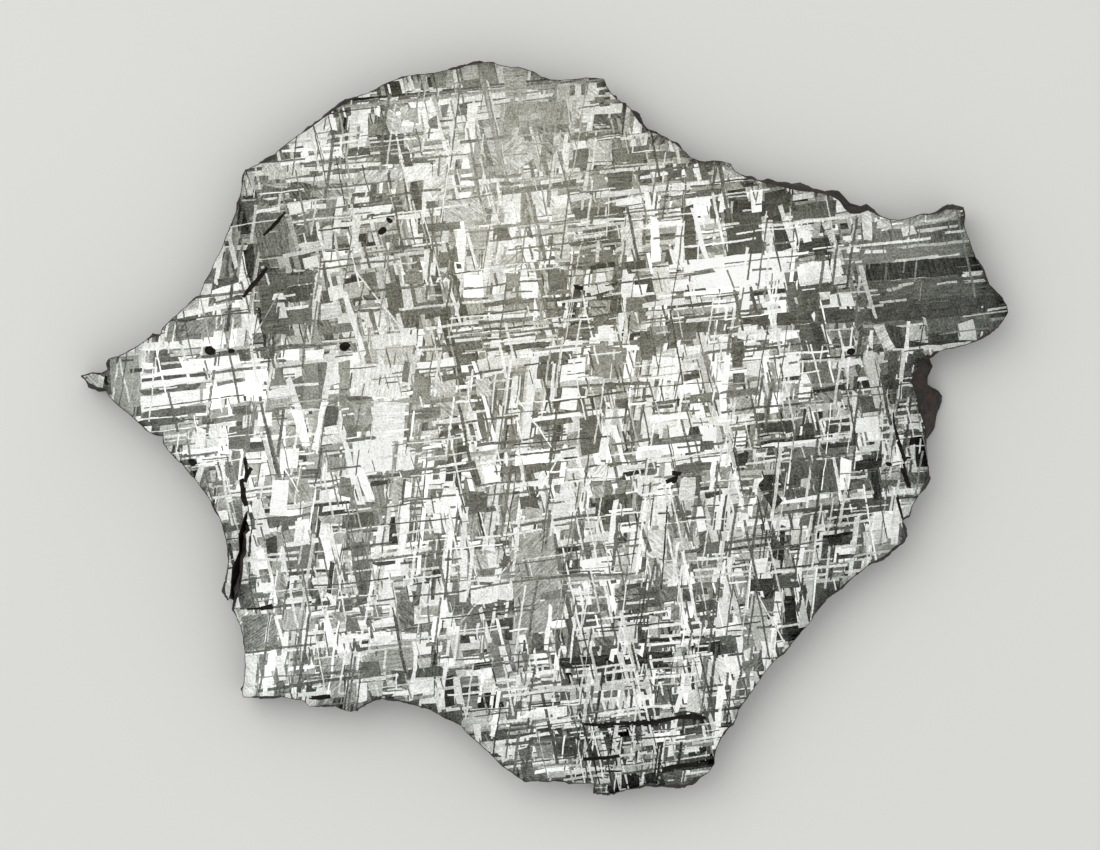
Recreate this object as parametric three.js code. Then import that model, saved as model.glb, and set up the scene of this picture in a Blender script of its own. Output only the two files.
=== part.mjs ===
// A slice of an iron meteorite, etched on both cut faces, lying flat.
//
// One closed solid: two flat cut faces, and between them the natural rim of the stone, which is
// lumpy, has ledges, and slopes outward below the front face in a few places. A crack runs in
// from the rim at the left, and narrow fissures, rods and nodules are sunk into the faces.
//
// Millimetres, +X to the right and +Y up on the front face, +Z out of it. The origin is the
// middle of the bottom of the solid's box, so the slice lies on the plane z = 0.

import * as THREE from 'three';
import { ImprovedNoise } from 'three/addons/math/ImprovedNoise.js';

// Driving dimensions
const SLICE_WIDTH = 61.7; // from the tip of the left splinter to the tip of the right lobe
const SLICE_THICKNESS = 3.0;

// How finely the rim is faceted
const RIM_STEP = 0.56; // along the outline
const RIM_LEVELS = [1.0, 0.9, 0.74, 0.56, 0.38, 0.2, 0.07, 0.0]; // heights, as shares of the thickness

// The rough surface of the rim
const LUMP_SIZE = 2.4;
const LUMP_SHIFT = 0.5;
const LEDGE_SIZE = 1.15;
const LEDGE_SHIFT = 0.32;
const UNDERCUT = 0.25; // how far the rim leans in under the front face where nothing says otherwise
const FULL_ROUGHNESS_DEPTH = 0.55; // below the front edge, whose line is the outline itself
const DIRECTION_SPREAD = 3; // neighbours each way over which the outward direction is evened out

// The outline of the front face, clockwise from the tip of the left splinter, in a frame whose
// middle is near the middle of the slice. Each stretch is one smooth curve that runs on from the
// end of the stretch before it, and a sharp corner parts one stretch from the next.
const OUTLINE = [
  // left splinter, upper edge
  [[-30.6, 3.78], [-30.2, 3.8], [-29.8, 3.73], [-29.4, 3.8], [-29.18, 4.0], [-29.13, 4.67]],
  // left lobe, upper flank
  [[-28.8, 4.8], [-28.1, 5.1], [-27.3, 5.5], [-26.6, 6.0], [-26.1, 6.25], [-25.65, 6.3]],
  [[-25.57, 6.65], [-25.1, 7.2], [-24.5, 7.7], [-23.9, 8.3], [-23.5, 8.65], [-23.1, 8.9]],
  // left shoulder
  [[-22.8, 9.7], [-22.3, 10.5], [-21.9, 11.5], [-21.5, 12.3], [-21.2, 13.1], [-20.85, 13.9],
    [-20.5, 14.9], [-20.27, 15.9], [-20.13, 16.8], [-20.0, 17.3]],
  [[-19.5, 17.6], [-18.9, 17.8], [-18.3, 17.95]],
  // upper left, a long low arc
  [[-17.7, 18.7], [-16.8, 19.4], [-15.9, 20.0], [-14.7, 20.9], [-13.5, 21.7], [-12.6, 22.2],
    [-11.7, 22.5], [-10.7, 23.1], [-9.7, 23.45]],
  // top
  [[-8.9, 23.65], [-7.8, 23.77], [-6.6, 24.0], [-5.8, 24.1], [-5.0, 24.37], [-4.1, 24.53],
    [-3.6, 24.55], [-2.7, 24.25], [-1.7, 24.17], [-0.7, 23.87]],
  [[-0.33, 23.57], [0.4, 23.37], [1.6, 23.35], [2.9, 23.5], [3.9, 23.4]],
  // upper right, falling in steps
  [[4.0, 23.1], [4.4, 22.5], [4.75, 22.1], [5.3, 21.8], [5.7, 21.4], [6.2, 20.6], [6.9, 20.0],
    [7.7, 19.65], [8.3, 19.4], [9.1, 18.75], [9.8, 18.1]],
  [[10.6, 17.87], [11.4, 17.93], [12.4, 17.73]],
  [[12.63, 17.3], [13.1, 17.0], [13.7, 16.75], [14.7, 16.5], [15.8, 16.25], [16.9, 16.0],
    [18.2, 15.85], [19.1, 15.65], [19.65, 15.3], [20.0, 14.75], [20.35, 14.43]],
  [[21.1, 14.47], [21.5, 14.7]],
  // right lobe, upper edge
  [[22.1, 14.4], [22.7, 14.1], [23.5, 14.0], [24.5, 14.2], [25.1, 14.4], [26.1, 14.4], [26.6, 14.7],
    [27.3, 14.75], [27.85, 14.7]],
  // right lobe, outer side
  [[27.97, 14.3], [27.87, 14.0], [28.1, 13.2], [28.4, 12.4], [28.7, 11.5], [29.15, 10.8],
    [29.35, 10.0], [29.8, 9.5], [30.3, 9.0], [30.7, 8.4], [30.87, 7.8]],
  [[30.5, 7.2], [30.0, 6.65], [29.3, 6.3], [28.9, 6.0], [28.3, 5.7], [27.6, 5.55], [26.7, 5.35],
    [25.9, 5.13], [25.5, 4.8], [24.93, 4.65]],
  // right notch
  [[25.0, 4.3], [24.7, 3.87], [24.4, 3.4], [24.5, 2.95], [24.8, 2.3], [24.93, 1.5], [25.3, 0.5],
    [25.4, 0.0]],
  // right side
  [[25.33, -0.4], [25.45, -1.3], [25.55, -2.3], [25.67, -3.0]],
  [[25.2, -3.8], [24.9, -4.4], [24.5, -5.1], [24.2, -5.85], [23.83, -5.93]],
  [[23.95, -6.4], [24.07, -7.1], [23.8, -7.6], [23.3, -7.85]],
  // lower right, a long diagonal
  [[22.7, -8.4], [22.1, -8.7], [21.0, -9.5], [20.0, -10.3], [19.0, -11.1], [18.3, -11.9],
    [17.7, -12.8], [16.9, -13.7], [16.1, -14.65], [15.3, -15.4], [14.7, -16.1], [14.1, -17.0],
    [13.5, -17.9], [12.87, -18.8]],
  [[12.73, -19.3], [12.0, -20.1], [11.65, -20.7], [11.35, -21.7], [11.27, -22.3]],
  [[10.9, -22.85], [10.1, -23.3], [9.33, -23.73]],
  // bottom
  [[8.4, -23.73], [7.3, -23.73], [6.7, -23.63], [6.1, -23.87], [5.3, -24.0], [4.7, -24.27],
    [4.1, -24.23], [3.47, -24.33]],
  [[3.23, -23.6]],
  [[2.3, -23.55], [1.4, -23.6], [0.97, -23.25], [0.5, -23.47], [-0.5, -23.43], [-1.4, -23.47]],
  // lower left, a diagonal that ends in an arch
  [[-2.2, -22.9], [-3.1, -22.2], [-3.7, -21.6], [-4.5, -20.9], [-5.2, -20.2], [-5.7, -19.7],
    [-6.7, -19.2], [-7.6, -18.7], [-8.5, -18.4], [-9.5, -18.1], [-10.6, -17.93], [-11.3, -18.03],
    [-12.1, -18.4], [-12.93, -18.8]],
  [[-13.6, -18.6], [-14.1, -18.35], [-14.6, -18.37], [-15.75, -18.47], [-16.1, -18.1]],
  [[-16.8, -17.95], [-17.7, -17.8], [-19.0, -17.8], [-20.13, -17.83]],
  // lower left side, up to the mouth of the crack
  [[-20.27, -17.6], [-20.1, -16.9], [-20.0, -15.6], [-20.1, -14.1], [-20.3, -13.2], [-20.55, -12.6],
    [-20.8, -12.0]],
  // right wall of the crack
  [[-20.68, -11.6], [-20.55, -11.1], [-20.42, -10.6], [-20.25, -10.0], [-20.17, -9.2],
    [-20.14, -8.67]],
  [[-19.93, -8.13], [-19.93, -7.5], [-19.98, -6.95]],
  [[-19.72, -6.67]],
  [[-19.9, -6.3], [-19.92, -5.9], [-19.8, -5.4]],
  // left wall of the crack
  [[-20.03, -5.7], [-20.12, -6.2], [-20.27, -6.6], [-20.37, -7.2], [-20.38, -7.87], [-20.47, -8.45],
    [-20.73, -8.95], [-20.84, -9.7], [-20.93, -10.5], [-21.0, -11.1], [-21.1, -11.33]],
  // splinter beside the crack, outer side
  [[-21.33, -11.13], [-21.38, -10.55], [-21.3, -9.8], [-21.1, -8.9], [-21.1, -8.25], [-21.27, -7.4],
    [-21.5, -6.4], [-21.9, -5.5], [-22.4, -4.6], [-23.0, -3.75], [-23.7, -2.9], [-24.2, -2.3],
    [-24.85, -1.7], [-25.35, -1.05], [-25.47, -0.4]],
  // left lobe, lower side
  [[-26.1, -0.35], [-26.6, 0.0], [-27.1, 0.55], [-27.8, 1.1], [-28.5, 1.65], [-29.0, 2.15],
    [-29.3, 2.4], [-29.3, 2.67]],
  // left splinter, lower edge
  [[-29.8, 2.75], [-30.25, 2.97], [-30.6, 3.33], [-30.82, 3.58]],
];

// Places where the crust of the rim stands out beyond the front edge, further the lower it is
const CRUST_SWELLS = [
  { at: [25.2, 2.6], reach: 2.5, shift: [2.1, 0.1] }, // in the right notch
  { at: [20.4, 14.6], reach: 1.5, shift: [0.1, 1.0] }, // in the small bay at the upper right
  { at: [16.9, 16.1], reach: 2.2, shift: [0.1, 0.6] },
  { at: [-5.0, 24.3], reach: 1.6, shift: [0.0, 0.35] },
  { at: [4.4, -24.2], reach: 1.4, shift: [0.1, -0.3] },
];

// Places so thin that the rim stays upright there
const THIN_PLACES = [
  { at: [-30.0, 3.3], reach: 1.6 }, // left splinter
  { at: [-20.7, -10.2], reach: 2.2 }, // splinter beside the crack
  { at: [-20.3, -7.0], reach: 2.0 },
];

// Fissures: the line that each one follows, its greatest width and its depth
const FRONT_FISSURES = [
  // above the crack, in line with it
  { line: [[-19.6, -2.5], [-19.85, -3.0], [-20.0, -3.5]], width: 0.3, depth: 1.2 },
  { line: [[-20.05, -3.85], [-20.1, -4.4], [-19.93, -5.05]], width: 0.38, depth: 1.4 },
  // near the bottom
  { line: [[2.6, -19.65], [3.5, -19.7], [4.5, -19.55]], width: 0.15, depth: 0.35 },
  { line: [[5.3, -19.5], [6.5, -19.5], [7.6, -19.4], [8.3, -19.2]], width: 0.17, depth: 0.35 },
  { line: [[8.9, -19.1], [9.8, -19.03], [10.7, -19.2]], width: 0.22, depth: 0.4 },
  { line: [[2.5, -21.95], [3.7, -21.9], [5.0, -21.8]], width: 0.16, depth: 0.3 },
  { line: [[7.8, -22.55], [9.0, -22.35], [10.3, -22.25], [10.8, -22.15]], width: 0.2, depth: 0.35 },
  { line: [[-15.7, -17.9], [-15.0, -17.93], [-14.3, -17.85]], width: 0.18, depth: 0.3 },
  // along the right side
  { line: [[23.25, 0.55], [23.5, -0.45], [23.75, -1.1], [23.85, -1.9]], width: 0.15, depth: 0.35 },
  { line: [[23.9, -2.25], [24.0, -2.9], [24.3, -3.75]], width: 0.2, depth: 0.4 },
  { line: [[23.5, -4.3], [23.6, -4.9], [23.75, -5.5]], width: 0.14, depth: 0.3 },
  // across the neck of the left splinter
  { line: [[-29.2, 3.6], [-29.3, 3.3], [-29.22, 3.0]], width: 0.26, depth: 0.3 },
];
const BACK_FISSURES = [
  { line: [[-19.7, -2.7], [-19.9, -3.6], [-20.0, -4.6]], width: 0.3, depth: 0.9 },
  { line: [[3.2, -20.1], [5.6, -19.9], [8.6, -19.6]], width: 0.2, depth: 0.35 },
  { line: [[22.9, 0.2], [23.2, -1.6], [23.4, -3.2]], width: 0.18, depth: 0.35 },
];

// Dark rods of mineral, etched out a little deeper than the metal: their two ends and width
const RODS = [
  { from: [-18.75, 12.95], to: [-17.3, 14.5], width: 0.24 },
  { from: [-20.15, 8.85], to: [-18.5, 10.8], width: 0.3 },
];
const ROD_DEPTH = 0.15;

// Round nodules of mineral: middle, half length and half width, and tilt in degrees
const FRONT_NODULES = [
  { at: [-22.35, 5.3], half: [0.37, 0.29], tilt: -20 },
  { at: [-20.93, 5.25], half: [0.22, 0.16], tilt: 10 },
  { at: [-13.35, 5.55], half: [0.38, 0.3], tilt: 25 },
  { at: [-10.85, 13.27], half: [0.3, 0.24], tilt: 40 },
  { at: [-10.37, 13.97], half: [0.24, 0.14], tilt: -35 },
  { at: [-23.5, -2.15], half: [0.3, 0.2], tilt: -30 },
  { at: [20.4, 5.2], half: [0.3, 0.24], tilt: 15 },
  { at: [22.87, -2.27], half: [0.2, 0.16], tilt: 0 },
  { at: [8.65, -3.3], half: [0.32, 0.14], tilt: 52 },
];
const BACK_NODULES = [
  { at: [-13.9, 6.4], half: [0.42, 0.3], tilt: 60 },
  { at: [6.8, -3.1], half: [0.36, 0.3], tilt: -15 },
  { at: [15.2, 9.4], half: [0.5, 0.26], tilt: 35 },
];
const NODULE_DEPTH = 0.18;
const NODULE_SIDES = 10;
const FLOOR_SHARE = 0.6; // the size of a hollow's floor, as a share of its mouth
const FISSURE_STEP = 0.75; // the length of a fissure's facets
const FISSURE_END_SHARE = 0.35; // the width of a fissure's ends, as a share of its greatest width

const noise = new ImprovedNoise();

function smoothStep(share) {
  const t = THREE.MathUtils.clamp(share, 0, 1);
  return t * t * (3 - 2 * t);
}

// How near a point is to a place: 1 at its middle, falling smoothly to almost 0 past its reach
function nearness(x, y, place) {
  const distance = Math.hypot(x - place.at[0], y - place.at[1]) / place.reach;
  return Math.exp(-distance * distance);
}

function curveThrough(points) {
  const places = points.map(([x, y]) => new THREE.Vector3(x, y, 0));
  return new THREE.CatmullRomCurve3(places, false, 'centripetal');
}

// The front edge as one closed clockwise ring of points, with every corner kept
function frontEdge() {
  const ring = [];
  let start = OUTLINE.at(-1).at(-1);
  for (const stretch of OUTLINE) {
    const curve = curveThrough([start, ...stretch]);
    const steps = Math.max(1, Math.round(curve.getLength() / RIM_STEP));
    const places = curve.getSpacedPoints(steps);
    for (const place of places.slice(0, -1)) {
      ring.push(new THREE.Vector2(place.x, place.y));
    }
    start = stretch.at(-1);
  }
  return ring;
}

// Unit vectors that point out of a clockwise ring
function outwardDirections(ring) {
  const count = ring.length;
  return ring.map((_, index) => {
    const before = ring[(index - DIRECTION_SPREAD + count) % count];
    const after = ring[(index + DIRECTION_SPREAD) % count];
    const along = after.clone().sub(before).normalize();
    return new THREE.Vector2(-along.y, along.x);
  });
}

// A sideways shift that varies smoothly over lumps of one size, the same for all that is near
function lumpShift(x, y, height, size, reach, seed) {
  const shiftX = noise.noise(x / size + seed, y / size, height / size);
  const shiftY = noise.noise(x / size, y / size + seed, height / size + seed);
  return new THREE.Vector2(shiftX * reach, shiftY * reach);
}

// Where a point of the front edge lies at a given height of the rim. Neighbouring points shift
// the same way, so thin walls keep their thickness and the two sides of the crack never meet.
function rimPoint(edge, outward, height) {
  const { x, y } = edge;
  const depth = SLICE_THICKNESS - height;
  const depthShare = depth / SLICE_THICKNESS;
  const place = edge.clone();

  const roughness = smoothStep(depth / FULL_ROUGHNESS_DEPTH);
  place.addScaledVector(lumpShift(x, y, height, LUMP_SIZE, LUMP_SHIFT, 31.7), roughness);
  place.addScaledVector(lumpShift(x, y, height, LEDGE_SIZE, LEDGE_SHIFT, 17.9), roughness);

  const thinness = Math.max(...THIN_PLACES.map((thin) => nearness(x, y, thin)));
  place.addScaledVector(outward, -UNDERCUT * depthShare * (1 - smoothStep(1.6 * thinness)));

  for (const swell of CRUST_SWELLS) {
    const share = nearness(x, y, swell) * Math.sqrt(depthShare);
    place.addScaledVector(new THREE.Vector2(...swell.shift), share);
  }
  return place;
}

// A fissure's mouth and floor, as two rings with the same number of points
function fissure({ line, width, depth }) {
  const curve = curveThrough(line);
  const steps = Math.max(2, Math.round(curve.getLength() / FISSURE_STEP));
  const along = curve.getSpacedPoints(steps);
  const ringOfWidth = (greatestWidth) => {
    const left = [];
    const right = [];
    along.forEach((place, index) => {
      const bulge = Math.sin((Math.PI * (index + 0.5)) / (steps + 1));
      const half = (greatestWidth * (FISSURE_END_SHARE + (1 - FISSURE_END_SHARE) * bulge)) / 2;
      const tangent = curve.getTangentAt(index / steps);
      left.push(new THREE.Vector2(place.x - tangent.y * half, place.y + tangent.x * half));
      right.push(new THREE.Vector2(place.x + tangent.y * half, place.y - tangent.x * half));
    });
    return [...left, ...right.reverse()];
  };
  return { mouth: ringOfWidth(width), floor: ringOfWidth(width * FLOOR_SHARE), depth };
}

function rod({ from, to, width }) {
  return fissure({ line: [from, to], width, depth: ROD_DEPTH });
}

function nodule({ at, half, tilt }) {
  const middle = new THREE.Vector2(...at);
  const turn = THREE.MathUtils.degToRad(tilt);
  const ringOfSize = (share) => {
    const ring = [];
    for (let side = 0; side < NODULE_SIDES; side += 1) {
      const angle = (2 * Math.PI * side) / NODULE_SIDES;
      const place = new THREE.Vector2(half[0] * Math.cos(angle), half[1] * Math.sin(angle));
      ring.push(place.multiplyScalar(share).add(middle).rotateAround(middle, turn));
    }
    return ring;
  };
  return { mouth: ringOfSize(1), floor: ringOfSize(FLOOR_SHARE), depth: NODULE_DEPTH };
}

// Collects the vertices and triangles of one closed solid
class SolidBuilder {
  constructor() {
    this.positions = [];
    this.triangles = [];
  }

  // Adds a ring of vertices at one height, and gives their indices
  ring(points, height) {
    const first = this.positions.length / 3;
    for (const point of points) {
      this.positions.push(point.x, point.y, height);
    }
    return points.map((_, index) => first + index);
  }

  // A band between two rings. It faces out of them when they run clockwise as seen from above
  // and the first is the upper one.
  band(upper, lower) {
    const count = upper.length;
    for (let index = 0; index < count; index += 1) {
      const next = (index + 1) % count;
      this.triangles.push(upper[index], upper[next], lower[next]);
      this.triangles.push(upper[index], lower[next], lower[index]);
    }
  }

  // A flat face inside an outline, less the holes in it, facing up or down
  flat(outline, outlineIndices, holes, holeIndices, facesUp) {
    const points = [...outline, ...holes.flat()];
    const indices = [...outlineIndices, ...holeIndices.flat()];
    for (const [a, b, c] of THREE.ShapeUtils.triangulateShape(outline, holes)) {
      const turnsLeft = !THREE.ShapeUtils.isClockWise([points[a], points[b], points[c]]);
      if (turnsLeft === facesUp) {
        this.triangles.push(indices[a], indices[b], indices[c]);
      } else {
        this.triangles.push(indices[a], indices[c], indices[b]);
      }
    }
  }

  geometry() {
    const geometry = new THREE.BufferGeometry();
    geometry.setAttribute('position', new THREE.Float32BufferAttribute(this.positions, 3));
    geometry.setIndex(this.triangles);
    return geometry;
  }
}

// A cut face with its hollows: their mouths lie in the face and their floors inside the metal
function addCutFace(builder, outline, outlineIndices, hollows, height, facesUp) {
  const inward = facesUp ? -1 : 1;
  const mouths = hollows.map((hollow) => hollow.mouth);
  const mouthIndices = [];
  for (const { mouth, floor, depth } of hollows) {
    const mouthRing = builder.ring(mouth, height);
    const floorRing = builder.ring(floor, height + inward * depth);
    mouthIndices.push(mouthRing);
    if (THREE.ShapeUtils.isClockWise(mouth) === facesUp) {
      builder.band(floorRing, mouthRing);
    } else {
      builder.band(mouthRing, floorRing);
    }
    builder.flat(floor, floorRing, [], [], facesUp);
  }
  builder.flat(outline, outlineIndices, mouths, mouthIndices, facesUp);
}

function sliceGeometry() {
  const builder = new SolidBuilder();
  const edge = frontEdge();
  const outward = outwardDirections(edge);
  const heights = RIM_LEVELS.map((level) => level * SLICE_THICKNESS);
  const rings = heights.map((height) => edge.map((point, index) => rimPoint(point, outward[index], height)));
  const ringIndices = rings.map((ring, row) => builder.ring(ring, heights[row]));
  for (let row = 0; row + 1 < rings.length; row += 1) {
    builder.band(ringIndices[row], ringIndices[row + 1]);
  }

  const frontHollows = [...FRONT_FISSURES.map(fissure), ...RODS.map(rod), ...FRONT_NODULES.map(nodule)];
  const backHollows = [...BACK_FISSURES.map(fissure), ...BACK_NODULES.map(nodule)];
  addCutFace(builder, rings[0], ringIndices[0], frontHollows, SLICE_THICKNESS, true);
  addCutFace(builder, rings.at(-1), ringIndices.at(-1), backHollows, 0, false);

  const geometry = builder.geometry();
  geometry.computeBoundingBox();
  const middle = geometry.boundingBox.getCenter(new THREE.Vector3());
  geometry.translate(-middle.x, -middle.y, 0);
  const edgeX = edge.map((point) => point.x);
  const scale = SLICE_WIDTH / (Math.max(...edgeX) - Math.min(...edgeX));
  geometry.scale(scale, scale, 1);
  return geometry;
}

const etchedIron = new THREE.MeshStandardMaterial({ color: 0xa6a69f, roughness: 0.45, metalness: 0.9 });
const slice = new THREE.Mesh(sliceGeometry(), etchedIron);
slice.name = 'meteorite_slice';

const meteorite = new THREE.Group();
meteorite.add(slice);

export default meteorite;
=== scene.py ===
"""The looks of an etched slice of an iron meteorite, which lies flat on a pale floor.

The slice is one closed mesh made round the solid of the frame: two flat cut faces that carry the
etched pattern of metal bands and fields, a rough natural rim, and small hollows with dark mineral.
Lengths are in millimetres, with +X to the right and +Y up on the front face, until the very end.
"""

import math
import random
from collections import defaultdict, deque
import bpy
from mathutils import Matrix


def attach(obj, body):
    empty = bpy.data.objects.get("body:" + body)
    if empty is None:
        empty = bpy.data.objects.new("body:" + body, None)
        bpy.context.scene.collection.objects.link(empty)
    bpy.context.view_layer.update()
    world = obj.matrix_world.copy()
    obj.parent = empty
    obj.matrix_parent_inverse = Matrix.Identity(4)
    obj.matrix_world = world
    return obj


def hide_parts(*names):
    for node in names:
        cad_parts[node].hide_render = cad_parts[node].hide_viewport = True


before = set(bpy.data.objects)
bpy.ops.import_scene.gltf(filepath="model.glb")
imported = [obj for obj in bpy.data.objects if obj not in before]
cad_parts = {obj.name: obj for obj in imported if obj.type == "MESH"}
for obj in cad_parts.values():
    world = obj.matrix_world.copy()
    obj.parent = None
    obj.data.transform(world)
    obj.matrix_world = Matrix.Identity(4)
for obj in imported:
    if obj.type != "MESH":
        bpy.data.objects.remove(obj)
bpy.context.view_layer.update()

from types import SimpleNamespace

import bmesh
import bpy
import numpy as np
from mathutils import Vector, noise
from mathutils.geometry import delaunay_2d_cdt, tessellate_polygon

NODE = "meteorite_slice"
MM = 0.001

# The photograph's frame: pixels across, pixels per millimetre, and the pixel at the middle of the front face
PHOTO_SIZE = (1100, 850)
PHOTO_SCALE = 15.0
PHOTO_FACE_MIDDLE = (545.4, 428.35)

# The three directions in which the bands lie, in degrees anticlockwise from +X, and their spread
FAMILIES = {"A": (6.0, 1.2), "B": (83.0, 1.6), "C": (103.0, 1.7)}

# The shares of bands in those directions
FAMILY_SHARES = (0.42, 0.31, 0.27)

# How much of the pattern each cut face has, and the seeds of the random draws. The front's seed was picked
# out of two hundred, as the one whose bright and dark places lie most like those of the photograph.
FRONT_BANDS, FRONT_FIELDS, FRONT_THIN_LINES = 1500, 1100, 700
BACK_BANDS, BACK_FIELDS, BACK_THIN_LINES = 600, 500, 200
FRONT_SEED, BACK_SEED, LANDMARK_SEED, FISSURE_SEED = 147, 11, 7, 8

# The share of bands that are early ones, which are longer and run through the others
EARLY_SHARE = 0.25

# The chance to stop where another band is met, for early and later bands and for long and short thin lines
STOP_EARLY, STOP_LATE, STOP_LONG, STOP_SHORT = 0.12, 0.35, 0.05, 0.3

# In millimetres: the usual reach of a band, the least length of a band and of a thin line, and how near to
# another band an end runs on to it
BAND_REACH = 3.2
LEAST_BAND = 0.45
LEAST_THIN_LINE = 0.4
SNAP = 0.8

# In millimetres: the spacing of a band's corners, how uneven its sides and how askew its ends can be at most
RAGGED_STEP = 0.85
GREATEST_RAGGEDNESS = 0.04
GREATEST_SKEW = 0.12

# In millimetres: how far a field's corner can lie from its middle, the width of the dark rim beside a bright
# band, and how far outside the band's side the middle of that rim lies
GREATEST_FIELD_REACH = 5.0
DARK_RIM = 0.1
DARK_RIM_PLACE = 0.035

# Tones of the etched metal, from 0 to 1: the middle and the spread of each kind
BLACKISH, DARK, GREY, LIGHT, WHITE = (0.31, 0.04), (0.43, 0.05), (0.60, 0.07), (0.79, 0.05), (0.94, 0.04)
BLACK = (0.10, 0.02)
MEAN_TONE = 0.62

# Parts of the front face that differ. Each row has the middle and the reach in pixels, then how much likelier
# bright grains are, the rise in the share of A bands, the change of shade, which is partly the metal's own
# tone and partly painted sheen and glare, and the shares of contrast and of needles lost. Below zero, the
# last two add contrast and needles.
ZONES = [
    (925, 285, 75, -0.36, 0.15, -0.04, 0.10, 0.6),
    (960, 300, 60, -0.20, 0.00, 0.02, 0.10, 0.6),
    (890, 228, 40, 0.00, 0.10, 0.13, 0.00, 0.3),
    (840, 295, 50, -0.14, 0.00, 0.00, 0.00, 0.3),
    (770, 220, 45, -0.16, 0.00, 0.03, 0.00, 0.0),
    (520, 85, 90, -0.02, 0.00, 0.02, 0.40, 0.8),
    (540, 130, 120, -0.02, 0.00, 0.00, 0.15, 0.3),
    (520, 215, 75, 0.10, 0.00, 0.09, 0.20, 0.3),
    (600, 300, 60, 0.00, 0.30, -0.05, 0.00, 0.0),
    (385, 400, 60, 0.10, 0.00, 0.02, 0.20, 0.8),
    (430, 440, 70, 0.00, 0.00, 0.08, 0.00, 0.0),
    (190, 400, 60, 0.02, 0.30, 0.05, 0.00, 0.5),
    (130, 385, 45, 0.00, 0.00, 0.00, 0.00, 0.8),
    (250, 480, 80, 0.10, -0.10, 0.03, 0.00, 0.3),
    # Here the rise in shade is a painted highlight of glare on the brightest bands
    (735, 272, 60, 0.30, 0.10, 0.08, -0.25, 0.6),
    (620, 400, 90, 0.10, 0.00, 0.02, 0.00, 0.0),
    (255, 235, 60, -0.10, 0.00, -0.08, 0.15, 0.7),
    (320, 320, 70, -0.10, 0.00, -0.03, 0.10, 0.3),
    (510, 560, 80, 0.00, 0.00, 0.05, 0.00, 0.3),
    (765, 460, 35, -0.10, 0.00, -0.06, 0.00, 0.0),
    (800, 585, 60, -0.08, 0.00, -0.06, 0.00, 0.0),
    (630, 755, 60, -0.10, 0.10, -0.10, 0.00, -0.6),
    (265, 655, 55, 0.05, 0.00, 0.09, 0.10, 0.3),
    (400, 260, 80, 0.00, 0.00, 0.00, 0.20, 0.3),
    (890, 420, 60, 0.00, 0.00, -0.08, 0.00, -0.8),
    (835, 527, 24, -0.10, 0.00, -0.12, 0.00, 0.0),
    (770, 335, 60, 0.00, 0.00, 0.00, 0.00, -0.5),
    (585, 665, 45, 0.00, 0.00, -0.06, 0.00, -0.4),
    (640, 690, 120, 0.00, 0.00, -0.01, -0.22, -0.7),
    (800, 500, 110, 0.00, 0.00, 0.00, -0.14, -0.5),
]

# Where the front face's darker metal is warmest, in pixels: middle and reach
WARM_PLACE = (545, 280, 290)

# The face darkens towards its edge: by how much, and how soon that fades, in millimetres
EDGE_SHADES = ((-0.12, 0.25), (-0.045, 2.2))

# Needles too thin to be patches: direction in degrees, spacing and length in millimetres, share of the places
# taken, and share of grains crossed
NEEDLES = [
    (5.0, 0.20, 2.0, 0.11, 0.50),
    (84.0, 0.20, 1.5, 0.09, 0.45),
    (104.0, 0.20, 1.5, 0.08, 0.45),
    (7.0, 0.24, 7.0, 0.13, 0.95),
    (82.0, 0.25, 5.5, 0.10, 0.92),
    (101.5, 0.25, 5.5, 0.09, 0.92),
]
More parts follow.
